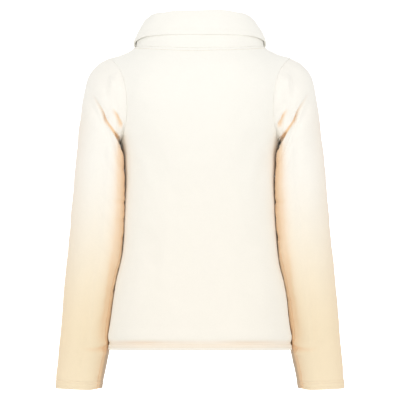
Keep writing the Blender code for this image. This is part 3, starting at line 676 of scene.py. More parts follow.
Band = namedtuple("Band", "much place spread")
HEM_BAND, HEM_HOLLOW, HEM_PUFF = 0.0004, Band(0.0030, 0.0130, 0.0036), Band(0.0016, 0.026, 0.010)
# ROWS_TAN and HOLLOW_TAN: painted shade, as tan, in the hem's stitch rows and in its hollow
ROWS_TAN, HOLLOW_TAN = Band(0.24, sum(HEM_ROWS) / 2, 0.0042), Band(0.26, 0.0145, 0.0036)
PULL_LEAST, PULL_DRAWN, PULL_UNEVEN, UNEVEN_LENGTH = 0.55, 0.65, 0.3, 0.12
# SIDE_TAN: painted shade, as tan, on the body's sides where the sleeves hang against them
SIDE_TAN, SIDE_TAN_REACH, SIDE_TAN_TOP, SIDE_TAN_FADE = 0.9, 0.013, -0.180, 0.02
PUCKER, PUCKER_LENGTH, PUCKER_REACH = 0.00045, 0.016, 0.014
HEM_DRAWN = [(0.104, 0.038), (-0.076, 0.045)]  # x and reach of the places where the hem pulls most


def banded(distance, band):
    return band.much * bell(distance - band.place, band.spread)


def hem_pull(points, uneven):
    """How strongly the hem draws the cloth in, along it."""
    drawn = sum(bell(points[..., 0] - x, reach) for x, reach in HEM_DRAWN)
    return PULL_LEAST + PULL_DRAWN * drawn + PULL_UNEVEN * uneven


def hem_relief(distance, pull):
    """How far a stitched hem stands out: a doubled band, a soft hollow above it, then a puff."""
    band = HEM_BAND * inside(distance, HEM_DEPTH)
    hollow, puff = banded(distance, HEM_HOLLOW) * pull, banded(distance, HEM_PUFF) * pull
    rows = sum(bell(distance - row, STITCH_SPREAD) for row in HEM_ROWS)
    return band - hollow + puff - STITCH_SINK * rows


def hem_painted_shade(distance, pull):
    """Painted shade, as tan, in the hem's rows of stitching and the hollow above it."""
    return banded(distance, ROWS_TAN) + banded(distance, HOLLOW_TAN) * pull


def side_painted_shade(points, distance):
    """Painted shade, as tan, on the sides where the sleeves hang against them."""
    below = smooth((SIDE_TAN_TOP - points[..., 2]) / SIDE_TAN_FADE)
    return SIDE_TAN * bell(distance, SIDE_TAN_REACH) * below


def pucker(points, distance, seed):
    """Small uneven ripples that a seam draws into the cloth beside it."""
    return PUCKER * waves(points, PUCKER_LENGTH, seed) * bell(distance, PUCKER_REACH)


def blended_inward(own, through, distance):
    """Square to the cloth's own face, but turned along the seam's step close to the seam."""
    share = smooth(distance / SEAM_BLEND)[..., None]
    return -unit(share * own + (1 - share) * unit(through))


def half_grid(facing):
    """(turn, down) of a half panel, with its points close together along its edges."""
    places = patch_places(facing, FINE)
    near_centre = [0] if facing == BACK else STITCHED_STEPS
    run = run_along(body_point(places[..., 0], places[..., 1]), 1)
    places = respaced(places, run, near_centre, EDGE_STEPS, PANEL_COLUMNS)
    places = turned(places)
    run = run_along(body_point(places[..., 0], places[..., 1]), 1)
    return turned(respaced(places, run, HEM_STEPS, STITCHED_STEPS, PANEL_ROWS))


def sleeve_rings(fine, along_fine):
    """Loops of the sleeve from the armhole to the cuff, each from the tip round by the back."""
    places = armhole_loop(fine)
    armhole = body_point(places[:, 0], places[:, 1])
    angle = np.linspace(0, 2 * np.pi, len(armhole), endpoint=False)
    across = np.array([0.0, 1.0, 0.0])
    local = None
    loops = []
    for ring in RINGS:
        outer = np.array([ring.out_x, 0, ring.out_z])
        inner = np.array([ring.in_x, 0, ring.in_z])
        middle = (outer + inner) / 2 - ring.forward * across
        up = (outer - inner) / 2
        out = np.cross(across, unit(up))
        if local is None:
            offset = armhole - middle
            local = np.stack([offset @ up / (up @ up), offset[:, 1], offset @ out], -1)
        depth = np.where(np.sin(angle) > 0, ring.back, ring.front)
        oval = np.stack([np.cos(angle), depth * np.sin(angle), 0 * angle], -1)
        shape = ring.armhole * local + (1 - ring.armhole) * oval
        loops.append(middle + shape[:, :1] * up + shape[:, 1:2] * across + shape[:, 2:] * out)
    stations = np.linspace(0, len(RINGS) - 1, (len(RINGS) - 1) * along_fine + 1)
    return spline(np.arange(len(RINGS)), loops)(stations)


def loop_normals(loops):
    along = np.gradient(loops, axis=0)
    around = np.roll(loops, -1, axis=1) - np.roll(loops, 1, axis=1)
    return unit(np.cross(along, around))


# The sleeve's stations, because the back's armhole edge meets its first one
Ring = namedtuple("Ring", "out_x out_z in_x in_z back front forward armhole")
RINGS = [
    Ring(0.1730, -0.0130, 0.1510, -0.1770, 0.066, 0.066, 0.000, 1.00),
    Ring(0.1955, -0.0260, 0.1535, -0.1795, 0.067, 0.066, 0.001, 0.75),
    Ring(0.2125, -0.0470, 0.1538, -0.1835, 0.067, 0.065, 0.002, 0.45),
    Ring(0.2205, -0.0780, 0.1520, -0.1895, 0.066, 0.064, 0.003, 0.22),
    Ring(0.2268, -0.1150, 0.1498, -0.2000, 0.064, 0.062, 0.004, 0.08),
    Ring(0.2316, -0.1550, 0.1475, -0.2200, 0.062, 0.060, 0.005, 0.00),
    Ring(0.2373, -0.2080, 0.1462, -0.2560, 0.059, 0.058, 0.007, 0.00),
    Ring(0.2441, -0.2850, 0.1470, -0.3100, 0.056, 0.055, 0.010, 0.00),
    Ring(0.2509, -0.3650, 0.1505, -0.3800, 0.053, 0.052, 0.015, 0.00),
    Ring(0.2593, -0.4427, 0.1632, -0.4480, 0.049, 0.048, 0.022, 0.00),
    Ring(0.2652, -0.5150, 0.1735, -0.5150, 0.045, 0.045, 0.028, 0.00),
    Ring(0.2707, -0.5750, 0.1788, -0.5750, 0.042, 0.042, 0.033, 0.00),
    Ring(0.2768, -0.6440, 0.1880, -0.6480, 0.039, 0.040, 0.037, 0.00),
]
LOOP_FINE, LENGTH_FINE = 24, 12


def armhole_seam(loops):
    """Where the body meets the sleeve, round the armhole."""
    places = armhole_loop(LOOP_FINE)
    body_side = body_normal(places[:, 0], places[:, 1])
    return seam_between(loops[0], body_side, loop_normals(loops)[0])


loops = sleeve_rings(LOOP_FINE, LENGTH_FINE)
armhole = armhole_seam(loops)

# The collar's two lines, because the back's neck edge meets its stand. Spread is the distance from
# the axis, as a share of the neck seam's.
CollarLine = namedtuple("CollarLine", "turn top_z top_spread edge_z edge_spread")
COLLAR = [
    CollarLine(0, 0.0682, 0.810, 0.0205, 0.985),
    CollarLine(40, 0.0685, 0.825, 0.0218, 0.988),
    CollarLine(60, 0.0640, 0.845, 0.0215, 1.000),
    CollarLine(75, 0.0565, 0.860, 0.0185, 1.020),
    CollarLine(90, 0.0470, 0.868, 0.0145, 1.025),
    CollarLine(105, 0.0355, 0.865, 0.0080, 1.035),
    CollarLine(120, 0.0225, 0.850, 0.0010, 1.045),
    CollarLine(135, 0.0090, 0.830, -0.0180, 1.050),
    CollarLine(150, -0.0030, 0.810, -0.0380, 1.045),
    CollarLine(165, -0.0120, 0.790, -0.0540, 1.035),
    CollarLine(180, -0.0160, 0.780, -0.0620, 1.030),
]
COLLAR_FOLD = 0.00225  # radius of the cloth's middle where it turns over
COLLAR_BOW = 0.0030
STAND_STEPS, TURN_STEPS, FALL_STEPS = 3, 4, 4


def collar_line(base, turn, z, spread):
    """The points of a line round the collar, above the neck seam's points."""
    knots = np.radians([line.turn for line in COLLAR])
    plan = base[:, :2] * spline(knots, spread)(turn)[:, None]
    return np.concatenate([plan, spline(knots, z)(turn)[:, None]], axis=1)


def bowed(start, end, out, steps):
    """Points from start to end, bowed towards out, without the first."""
    share = np.linspace(0, 1, steps + 1)[1:, None, None]
    return start + share * (end - start) + out * COLLAR_BOW * np.sin(np.pi * share)


def collar_path(fine):
    """The middle of the collar's cloth: profiles from the neck seam over the fold to the edge."""
    places = neck_line(fine)
    base = body_point(places[:, 0], places[:, 1])
    turn = np.arctan2(base[:, 0] / NECK_SIDE_X, base[:, 1] / back_at(0.0))
    _, top_z, top_spread, edge_z, edge_spread = zip(*COLLAR)
    top = collar_line(base, turn, top_z, top_spread)
    edge = collar_line(base, turn, edge_z, edge_spread)
    out = unit((edge - top) * np.array([1.0, 1.0, 0.0]))
    up = np.array([0.0, 0.0, 1.0])
    pivot = top + out * COLLAR_FOLD - up * COLLAR_FOLD
    angles = np.linspace(np.pi, 0, TURN_STEPS * fine + 1)[:, None, None]
    turn_over = pivot + COLLAR_FOLD * (out * np.cos(angles) + up * np.sin(angles))
    stand = bowed(base, turn_over[0], out, STAND_STEPS * fine)
    fall = bowed(turn_over[-1], edge, out, FALL_STEPS * fine)
    return np.concatenate([base[None], stand, turn_over[1:], fall]), out


def neck_seam(path, out, fine):
    """Where the body meets the collar, along the left half of the neck."""
    places = neck_line(fine)
    stand_side = unit(np.cross(path[1] - path[0], np.gradient(path[0], axis=0)))
    stand_side *= np.sign((stand_side * out).sum(-1, keepdims=True))
    return seam_between(path[0], body_normal(places[:, 0], places[:, 1]), stand_side)


COLLAR_FINE = 8
path, path_out = collar_path(COLLAR_FINE)
neck = neck_seam(path, path_out, COLLAR_FINE)


def panel(facing):
    """A half panel's outer points and its steps inwards, before its creases."""
    places = half_grid(facing)
    turn, down = places[..., 0], places[..., 1]
    points, own = body_point(turn, down), body_normal(turn, down)
    away = edge_distances(points)
    tip = int(np.argmin(np.linalg.norm(points[:, -1] - loops[0, 0], axis=1)))
    low = int(np.argmin(np.linalg.norm(points[:, -1] - loops[0, loops.shape[1] // 2], axis=1)))
    through = WALL * own[:, -1]
    through[low : tip + 1] = at_seam(armhole, points[low : tip + 1, -1])
    inward = blended_inward(own, through[:, None], away["last"])
    inward = blended_inward(-inward, at_seam(neck, points[-1])[None], away["high"])
    return points, inward


def mirrored(values):
    return values * np.array([-1.0, 1.0, 1.0])


def whole_width(half):
    """Both halves of a grid whose first column is on the centre plane."""
    return np.concatenate([mirrored(half[:, :0:-1]), half], axis=1)


NECK_ROW = 0.0072  # the topstitching below the neck seam
# The body's cream is painted paler towards the top and warmer below: painted light and shade
CREAM_HIGH, CREAM_LOW = (0.93, 0.915, 0.860, 1), (0.91, 0.872, 0.790, 1)
CREAM_LOW_Z, CREAM_HIGH_Z = -0.50, 0.02
THREAD_SHADES = (0.84, 0.74, 0.60, 1), (0.88, 0.80, 0.68, 1)
BACK_RIPPLES = Ripple(0.0009, 0.085), Ripple(0.00025, 0.030)
cream_fleece = fleece("cream_fleece", CREAM_HIGH, CREAM_LOW, CREAM_LOW_Z, CREAM_HIGH_Z)

points, inward = map(whole_width, panel(BACK))
away = edge_distances(points)
side_gap = np.minimum(away["first"], away["last"])
uneven = waves(points, UNEVEN_LENGTH, 11)
pull = hem_pull(points, uneven)
relief = hem_relief(away["low"], pull)
relief += ripples(points, BACK_RIPPLES, 12)
relief += pucker(points, side_gap, 14) + pucker(points, away["high"], 15)
relief -= STITCH_SINK * bell(away["high"] - NECK_ROW, STITCH_SPREAD)
relief -= crease_depth(points, "body", BACK, 0.0, uneven)[0]
points = points - inward * relief[..., None]
doubled = HEM_EXTRA * inside(away["low"], HEM_DEPTH)
doubled = np.maximum(doubled, ALLOWANCE_EXTRA * inside(side_gap, ALLOWANCE_DEPTH))
# painted shade: tan in the hem's grooves, and on the sides where the sleeves hang against them
painted_shade = hem_painted_shade(away["low"], pull) + side_painted_shade(points, side_gap)
edges = {"low": "fold", "high": "seam", "first": "seam", "last": "seam"}
back, face = add_cloth("fleece_back", points, inward, edges, doubled, painted_shade, cream_fleece)
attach(back, "jacket")
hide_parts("back")
cream_thread = thread("cream_thread", *THREAD_SHADES)
rows = [stitch_line(face, inward, away, "low", row) for row in HEM_ROWS]
rows.append(stitch_line(face, inward, away, "high", NECK_ROW))
back_stitches = sew("stitches_back", rows, cream_thread)


# ---------------------------------------------------------------- the fronts
# Two fronts of the same fleece, from the side seams to the zip. Each front edge is folded back and
# stitched down beside the zip, which draws it into small ripples, and the hem is turned up.

FRONT_ROW = 0.0065  # the topstitching beside the zip
ZIP_RIPPLE, ZIP_RIPPLE_LENGTH, ZIP_RIPPLE_REACH = 0.0008, 0.034, 0.020
ZIP_UNEVEN, ZIP_UNEVEN_LENGTH = 1.4, 0.09
ZIP_HEM_REACH, ZIP_HEM_START = 0.012, 0.6  # the hem's fold ends short of the front edge
FRONT_RIPPLES = Ripple(0.0008, 0.085), Ripple(0.00025, 0.030)


def front_side(side, seed):
    """The outer grid of the front on this side of the zip, with what shapes it."""
    points, inward = panel(FRONT)
    if side < 0:
        points, inward = mirrored(points), mirrored(inward)
    away = edge_distances(points)
    uneven = waves(points, UNEVEN_LENGTH, seed)
    relief = hem_relief(away["low"], hem_pull(points, uneven))
    relief += ripples(points, FRONT_RIPPLES, seed + 1)
    relief += pucker(points, away["last"], seed + 3) + pucker(points, away["high"], seed + 4)
    phase = 2 * np.pi * points[..., 2] / ZIP_RIPPLE_LENGTH
    phase += ZIP_UNEVEN * waves(points, ZIP_UNEVEN_LENGTH, seed + 5)
    relief += ZIP_RIPPLE * np.sin(phase) * bell(away["first"] - FRONT_ROW, ZIP_RIPPLE_REACH)
    relief -= STITCH_SINK * bell(away["first"] - FRONT_ROW, STITCH_SPREAD)
    relief -= STITCH_SINK * bell(away["high"] - NECK_ROW, STITCH_SPREAD)
    relief -= crease_depth(points, "body", FRONT, 0.0, uneven)[0]
    clear = smooth(away["first"] / ZIP_RIPPLE_REACH)[..., None]
    points = points - inward * np.minimum(relief, 0)[..., None]
    return points - inward * clear * np.maximum(relief, 0)[..., None], inward


fronts = []
for side, word, seed in ((1, "left", 21), (-1, "right", 31)):
    points, inward = front_side(side, seed)
    away = edge_distances(points)
    from_zip = smooth(away["first"] / ZIP_HEM_REACH - ZIP_HEM_START)
    doubled = HEM_EXTRA * inside(away["low"], HEM_DEPTH) * from_zip
    doubled = np.maximum(doubled, ALLOWANCE_EXTRA * inside(away["last"], ALLOWANCE_DEPTH))
    # painted shade: tan in the hem's grooves, and on the side where the sleeve hangs against it
    painted_shade = hem_painted_shade(away["low"], hem_pull(points, waves(points, UNEVEN_LENGTH, seed)))
    painted_shade += side_painted_shade(points, away["last"])
    edges = {"low": "fold", "first": "fold", "high": "seam", "last": "seam"}
    name = f"fleece_front_{word}"
    front, face = add_cloth(name, points, inward, edges, doubled, painted_shade, cream_fleece)
    fronts.append(front)
    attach(front, "jacket")
    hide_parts(f"front_{word}")
    rows = [stitch_line(face, inward, away, "low", row) for row in HEM_ROWS]
    rows.append(stitch_line(face, inward, away, "first", FRONT_ROW))
    rows.append(stitch_line(face, inward, away, "high", NECK_ROW))
    front_stitches = sew(f"stitches_front_{word}", rows, cream_thread)


# ---------------------------------------------------------------- the sleeves
# One piece each, closed by a seam that runs from under the arm to the cuff, a little to the back.
# The cap is set into the armhole, where the hanging arm pulls deep creases, and the cuff's hem is
# turned up and stitched. The cloth's colour is painted a deeper tan towards the cuffs: painted shade
# for the lesser, warmer light that falls there.

SLEEVE_RINGS, SLEEVE_COLUMNS = 240, 160
CUFF_DEPTH, CUFF_ROWS = 0.0150, (0.0050, 0.0120, 0.0165)
SEAM_DRIFT, SEAM_DRIFT_BY = 0.026, 0.24  # how far the seam drifts to the back, and by where
# the sleeves' colour darkens to tan towards the cuffs: painted shade
SLEEVE_HIGH, SLEEVE_LOW = (0.93, 0.905, 0.845, 1), (0.90, 0.765, 0.55, 1)
SLEEVE_LOW_Z, SLEEVE_HIGH_Z = -0.55, -0.19
sleeve_fleece = fleece("cream_fleece_sleeve", SLEEVE_HIGH, SLEEVE_LOW, SLEEVE_LOW_Z, SLEEVE_HIGH_Z)

MAIN_CREASE = [(0.2063, -0.080), (0.1966, -0.100), (0.1849, -0.121), (0.1773, -0.138)]
MAIN_CREASE += [(0.1655, -0.154), (0.1558, -0.170), (0.1500, -0.184)]
SECOND_CREASE = [(0.1676, -0.115), (0.1600, -0.126), (0.1545, -0.139), (0.1510, -0.156)]
INNER_CREASE = [(0.1625, -0.350), (0.1700, -0.430), (0.1800, -0.495), (0.1900, -0.558)]
add_creases("sleeve", BACK, [
    # where the arm hangs from the back of the shoulder
    (0.0048, 0.013, 0.1, (0.5, 0.4), [(0.206, -0.082), (0.183, -0.130), (0.160, -0.166)]),
    (0.0085, 0.0038, 0.25, (0.7, 0.2), MAIN_CREASE, 1.10, 0.40),
    (0.0030, 0.010, 0.1, (0.3, 0.1), [(0.171, -0.108), (0.155, -0.152)]),
    (0.0050, 0.0042, 0.4, (0.5, 0.2), SECOND_CREASE, 0.85, 0.50),
    (0.0020, 0.007, 0.3, (0.5, 0.5), [(0.2130, -0.080), (0.2030, -0.115), (0.1900, -0.150)]),
    (0.0020, 0.008, 0.3, (0.5, 0.4), [(0.1850, -0.060), (0.1720, -0.095), (0.1600, -0.125)]),
    # at the elbow, and where the forearm's cloth rests on the cuff
    (0.0025, 0.016, 0.1, (0.4, 0.5), [(0.1560, -0.345), (0.2050, -0.325)]),
    (0.0040, 0.011, 0.3, (0.7, 0.1), [(0.195, -0.465), (0.197, -0.520), (0.201, -0.563)]),
    (0.0040, 0.0050, 0.6, (0.6, 0.1), [(0.228, -0.566), (0.205, -0.570), (0.180, -0.566)], 0.30),
    (0.0018, 0.0060, 0.3, (0.3, 0.3), INNER_CREASE, 0.18),
])
add_creases("sleeve", FRONT, [
    (0.0050, 0.015, 0.1, (0.5, 0.1), [(0.1950, -0.0900), (0.1600, -0.1650)]),
    (0.0040, 0.0042, 0.45, (0.6, 0.0), [(0.196, -0.092), (0.179, -0.130), (0.158, -0.170)], 0.25),
    (0.0045, 0.016, 0.1, (0.4, 0.5), [(0.1560, -0.3000), (0.2250, -0.3300)]),
    (0.0030, 0.0050, 0.5, (0.4, 0.5), [(0.153, -0.300), (0.190, -0.312), (0.220, -0.329)]),
    (0.0035, 0.015, 0.1, (0.4, 0.5), [(0.1580, -0.3450), (0.2150, -0.3700)]),
    (0.0025, 0.0050, 0.5, (0.4, 0.5), [(0.156, -0.346), (0.185, -0.356), (0.210, -0.370)]),
    (0.0020, 0.010, 0.3, (0.5, 0.3), [(0.2050, -0.470), (0.1980, -0.520), (0.1930, -0.560)]),
])

# Short creases across the inner edge, where the hanging cloth bunches a little
BUNCH_TOP, BUNCH_LOWEST, BUNCH_STAGGER = -0.300, -0.535, 0.008
BUNCH_REACH, BUNCH_APART = (0.018, 0.036), (0.018, 0.040)
BUNCH_DEPTH, BUNCH_WIDTH, BUNCH_LIP, BUNCH_FADE = (0.0005, 0.0013), (0.0040, 0.0070), 0.4, (0.0, 0.7)
BUNCH_BEHIND, BUNCH_RISE, BUNCH_END_RISE = 0.010, 0.002, 0.008
inner_x = spline([-ring.in_z for ring in RINGS], [ring.in_x for ring in RINGS])
bunches = np.random.default_rng(41)
for facing in (BACK, FRONT):
    level = BUNCH_TOP + BUNCH_STAGGER * facing
    while level > BUNCH_LOWEST:
        x, reach = float(inner_x(-level)), bunches.uniform(*BUNCH_REACH)
        depth, width = bunches.uniform(*BUNCH_DEPTH), bunches.uniform(*BUNCH_WIDTH)
        route = [(x - BUNCH_BEHIND, level), (x + 0.5 * reach, level + BUNCH_RISE)]
        route.append((x + reach, level + BUNCH_END_RISE))
        add_creases("sleeve", facing, [(depth, width, BUNCH_LIP, BUNCH_FADE, route)])
        level -= bunches.uniform(*BUNCH_APART)


def sleeve_grid():
    """Outer points and outward normals, in rows from the armhole to the cuff. Columns run once
    round, from the underarm seam by the back and the shoulder to the seam's other side."""
    grid = np.concatenate([loops, loop_normals(loops)], axis=-1)
    lines = turned(grid)
    run = run_along(lines[..., :3], 1)
    grid = turned(respaced(lines, run, EDGE_STEPS, fine_edge(21), SLEEVE_RINGS))
    down = run_along(grid[..., :3], 0)[:, grid.shape[1] // 2]
    rows = []
    for ring, depth in zip(grid, down):
        ring = np.roll(ring, -(len(ring) // 2), axis=0)[::-1]
        ring = np.concatenate([ring[-1:], ring])
        run = run_along(ring[None, :, :3], 1)[0]
        drift = SEAM_DRIFT * smooth(depth / SEAM_DRIFT_BY)
        wanted = drift + spaced(run[-1], EDGE_STEPS, EDGE_STEPS, SLEEVE_COLUMNS)
        rows.append([np.interp(wanted % run[-1], run, channel) for channel in ring.T])
    grid = np.array(rows).transpose(0, 2, 1)
    return grid[..., :3], unit(grid[..., 3:])


def body_search():
    """The back and fronts, ready to be searched from a point."""
    shape = bmesh.new()
    for piece in (back, *fronts):
        shape.from_mesh(piece.data)
    search = BVHTree.FromBMesh(shape)
    shape.free()
    return search


CUFF_BAND, CUFF_SINK, SEAM_RIDGE = 0.0005, 0.6, 0.0009
SLEEVE_UNEVEN, SLEEVE_RIPPLES = 0.10, (Ripple(0.0008, 0.075), Ripple(0.00035, 0.030))
CAP_EASE, CAP_LEAST = 0.012, 0.2  # the relief grows over this distance from the armhole, from this share
CORNER_LIFT, CORNER_REACH, CORNER_EDGE = 0.0040, 0.030, 4
# Painted shade, as tan: in the cuff's stitch rows, along the seam, at the outer side and, most, at the
# inner side that hangs against the body
ROW_TAN, SEAM_TAN, SEAM_TAN_REACH = 0.12, 0.25, 0.0015
OUTER_TAN, OUTER_TAN_TOP, OUTER_TAN_SPAN, OUTER_TAN_EDGE, TAN_MOST = 0.22, -0.08, 0.08, 3, 1.2
INNER_TAN_HIGH, INNER_TAN_LOW, INNER_TAN_EDGE = 0.95, 0.65, 3.5
INNER_TAN_HIGH_Z, INNER_TAN_SPAN, INNER_TAN_TOP, INNER_TAN_FADE = -0.30, 0.15, -0.145, 0.035
STRIP, STRIP_FADE, STRIP_START = Band(1.7, 0.019, 0.011), 0.020, 0.6  # painted brown shadow inside each cuff
PRESSED, PRESSED_MOST, PRESSED_FROM, PRESSED_BLEND = 4.0, 2.6, 0.030, 0.35
WRAP_MOST, WRAP_DEPTH, WRAP_SPREAD, WRAP_ROWS = 0.0045, 0.60, 0.25, 4
REST_CLEARANCE, REST_REACHES, REST_FADE = 0.0004, (7, 3, 1), 0.110
REST_NEAR, REST_SLOPE = 0.8, 0.6  # the part that is let in, and its steepest way in at the top
REST_SHORT, REST_WIDENS = 10, 8  # rows left out above the hem, and rows for each row of reach


def nearness(points, side):
    """0 at the middle of the sleeve's width and beyond, and 1 where it is nearest to the body."""
    across = side * points[..., 0]
    middle = (across.min(axis=1) + across.max(axis=1))[:, None] / 2
    return np.clip((middle - across) / (middle - across.min(axis=1, keepdims=True)), 0, 1)


def pressed(points, near, away):
    """The sleeve's inner side squared off, as cloth that is pressed against the body."""
    below = smooth((HEM_Z - points[..., 2]) / REST_FADE)
    share = smooth(away / PRESSED_FROM) * (1 - below) * smooth(near / PRESSED_BLEND)
    middle = points[..., 1].mean(axis=1, keepdims=True)
    depth = np.abs(points[..., 1] - middle)
    square = depth.max(axis=1, keepdims=True) * (1 - near**PRESSED) ** (1 / PRESSED)
    wider = np.clip(PRESSED_MOST * depth, depth, np.maximum(square, depth)) - depth
    moved = points.copy()
    moved[..., 1] += share * wider * np.sign(points[..., 1] - middle)
    return moved


def wrapped(points, side, body, near, away):
    """The back corner of the pressed side let in further, round the curve of the body."""
    middle = points[..., 1].mean(axis=1, keepdims=True)
    depth = (points[..., 1] - middle) / (points[..., 1].max(axis=1, keepdims=True) - middle)
    gaps = np.zeros(near.shape)
    for row, column in np.argwhere((near > REST_NEAR) & (depth > 0)):
        gap = body.ray_cast(Vector(points[row, column]), (-side, 0, 0))[3]
        gaps[row, column] = 0 if gap is None else gap - REST_CLEARANCE
    rows = np.arange(len(points))[:, None] + np.arange(-WRAP_ROWS, WRAP_ROWS + 1)
    least = gaps[np.clip(rows, 0, len(points) - 1)].min(axis=1)
    even = least[np.clip(rows, 0, len(points) - 1)].mean(axis=1)
    moved = points.copy()
    here = bell(depth - WRAP_DEPTH, WRAP_SPREAD) * smooth(away / PRESSED_FROM)
    moved[..., 0] -= side * np.clip(even, 0, WRAP_MOST) * here
    return moved


def rested(points, side, body, widest, slack):
    """The sleeve's grid with its inner side let in towards the body, until it hangs against it.
    The widest reach, in rows, keeps the line along the body even."""
    near = nearness(points, side)
    gaps = []
    for row, inner in zip(points, near > REST_NEAR):
        found = [body.ray_cast(Vector(point), (-side, 0, 0))[3] for point in row[inner]]
        gaps.append(min((gap for gap in found if gap is not None), default=np.nan))
    gaps = np.array(gaps)
    last = int(np.flatnonzero(np.isfinite(gaps))[-1]) - REST_SHORT
    fade = smooth(1 - (points[last, 0, 2] - points[last:, 0, 2]) / REST_FADE)
    gaps[last:] = gaps[last] * fade
    spans = []
    for k in range(len(gaps)):
        reach = min(1 + k // REST_WIDENS, widest)
        spans.append(slice(max(k - reach, 0), k + reach + 1))
    least = np.array([gaps[span].min() for span in spans])
    shift = np.array([least[span].mean() for span in spans]) - REST_CLEARANCE
    moved = points.copy()
    moved[..., 0] -= side * np.clip(shift, 0, slack)[:, None] * smooth(near)
    return moved


def sleeve_side(side, seed, body):
    points, own = sleeve_grid()
    away = edge_distances(points)
    inward = blended_inward(own, at_seam(armhole, points[0])[None], away["low"])
    if side < 0:
        points, inward = mirrored(points), mirrored(inward)
    seam_gap = np.minimum(away["first"], away["last"])
    uneven = waves(points, SLEEVE_UNEVEN, seed)
    middle_y = points[..., 1].mean(axis=1, keepdims=True)
    cuff = away["high"]
    rows = sum(bell(cuff - row, STITCH_SPREAD) for row in CUFF_ROWS)
    relief = CUFF_BAND * inside(cuff, CUFF_DEPTH) - CUFF_SINK * STITCH_SINK * rows
    relief += ripples(points, SLEEVE_RIPPLES, seed + 1)
    relief += pucker(points, seam_gap, seed + 3) + pucker(points, away["low"], seed + 4)
    relief += SEAM_RIDGE * bell(seam_gap - 2 * SEAM_ROUND, SEAM_ROUND)
    # painted shade: tan in the cuff's stitch rows, along the seam, and in the creases
    painted_shade = ROW_TAN * rows + SEAM_TAN * bell(seam_gap, SEAM_TAN_REACH)
    for facing in (BACK, FRONT):
        creased, tan = crease_depth(points, "sleeve", facing, middle_y, uneven)
        relief, painted_shade = relief - creased, painted_shade + tan
    relief *= smooth(away["low"] / CAP_EASE) * (1 - CAP_LEAST) + CAP_LEAST
    near = nearness(points, side)
    points = pressed(points - inward * relief[..., None], near, away["low"])
    for reach in REST_REACHES:
        points = rested(points, side, body, reach, REST_SLOPE * away["low"][:, 0])
    points = wrapped(points, side, body, near, away["low"])
    inner_side = smooth(near)
    points[..., 2] += CORNER_LIFT * inner_side**CORNER_EDGE * smooth(1 - cuff / CORNER_REACH)
    # painted shade: tan at the outer and inner sides, and a painted brown shadow beside the seam below
    # the hem
    below_hem = smooth((HEM_Z - points[..., 2]) / STRIP_FADE + STRIP_START)
    low = smooth((INNER_TAN_HIGH_Z - points[..., 2]) / INNER_TAN_SPAN)
    below_arm = smooth((INNER_TAN_TOP - points[..., 2]) / INNER_TAN_FADE)
    below_cap = smooth((OUTER_TAN_TOP - points[..., 2]) / OUTER_TAN_SPAN)
    inner_tan = INNER_TAN_HIGH + low * (INNER_TAN_LOW - INNER_TAN_HIGH)
    painted_shade += OUTER_TAN * nearness(points, -side) ** OUTER_TAN_EDGE * below_cap
    painted_shade += inner_tan * inner_side**INNER_TAN_EDGE * below_arm
    strip = bell(away["last"] - STRIP.place, STRIP.spread) * below_hem
    return points, inward, away, np.clip(painted_shade, 0, TAN_MOST * (1 - strip)) + STRIP.much * strip


body = body_search()
for side, word, seed in ((1, "left", 51), (-1, "right", 61)):
    points, inward, away, painted_shade = sleeve_side(side, seed, body)
    seam_gap = np.minimum(away["first"], away["last"])
    doubled = HEM_EXTRA * inside(away["high"], CUFF_DEPTH)
    doubled = np.maximum(doubled, ALLOWANCE_EXTRA * inside(seam_gap, ALLOWANCE_DEPTH))
    edges = {"low": "seam", "high": "fold", "first": "seam", "last": "seam"}
    name = f"fleece_sleeve_{word}"
    sleeve, face = add_cloth(name, points, inward, edges, doubled, painted_shade, sleeve_fleece)
    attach(sleeve, "jacket")
    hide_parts(f"sleeve_{word}")
    rows = [stitch_line(face, inward, away, "high", row) for row in CUFF_ROWS]
    sleeve_stitches = sew(f"stitches_sleeve_{word}", rows, cream_thread)


# ---------------------------------------------------------------- the collar
# One piece of fleece: its stand rises from the neck seam and turns over into a fall, which spreads
# over the shoulders. Its free edges are turned in and pressed, with no stitching on show.

COLLAR_ROWS, COLLAR_COLUMNS = 56, 150
COLLAR_EXTRA, COLLAR_HEM, COLLAR_EASE = 0.0010, 0.0095, 0.030
COLLAR_RIPPLES = Ripple(0.0007, 0.080), Ripple(0.0003, 0.030)


def collar_grid():
    """Points on the collar's outer face, in rows from the neck seam over the fold to the edge."""
    along, rise = np.gradient(path, axis=1), np.gradient(path, axis=0)
    normals = unit(np.cross(rise, along))
    normals *= np.sign((normals[0] * path_out).sum())
    grid = np.concatenate([path + WALL / 2 * normals, normals], axis=-1)
    grid = respaced(grid, run_along(path, 1), [0], STITCHED_STEPS, COLLAR_COLUMNS // 2)
    lines = turned(grid)
    lines = respaced(lines, run_along(lines[..., :3], 1), EDGE_STEPS, STITCHED_STEPS, COLLAR_ROWS)
    grid = turned(lines)
    return grid[..., :3], unit(grid[..., 3:])


points, own = collar_grid()
away = edge_distances(points)
seat = neck.points[np.linalg.norm(points[0][:, None] - neck.points[None], axis=-1).argmin(axis=1)]
lift = (1 - smooth(away["low"] / SEAM_BLEND))[..., None]
points = points + lift * (seat - points[0])[None]
inward = blended_inward(own, at_seam(neck, points[0])[None], away["low"])
points, inward = whole_width(points), whole_width(inward)
away = edge_distances(points)
free = np.minimum(np.minimum(away["first"], away["last"]), away["high"])
relief = ripples(points, COLLAR_RIPPLES, 71) * smooth(away["low"] / COLLAR_EASE)
points = points - inward * relief[..., None]
doubled = COLLAR_EXTRA * inside(free, COLLAR_HEM)
edges = {"low": "seam", "high": "fold", "first": "fold", "last": "fold"}
collar, _ = add_cloth("fleece_collar", points, inward, edges, doubled, 0 * free, cream_fleece)
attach(collar, "jacket")
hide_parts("collar")


# ---------------------------------------------------------------- the zip's tapes and teeth
# Two woven tapes are sewn behind the front edges. Moulded teeth are clamped on their inner edges
# and mesh along the centre, closed all the way up to the slider.

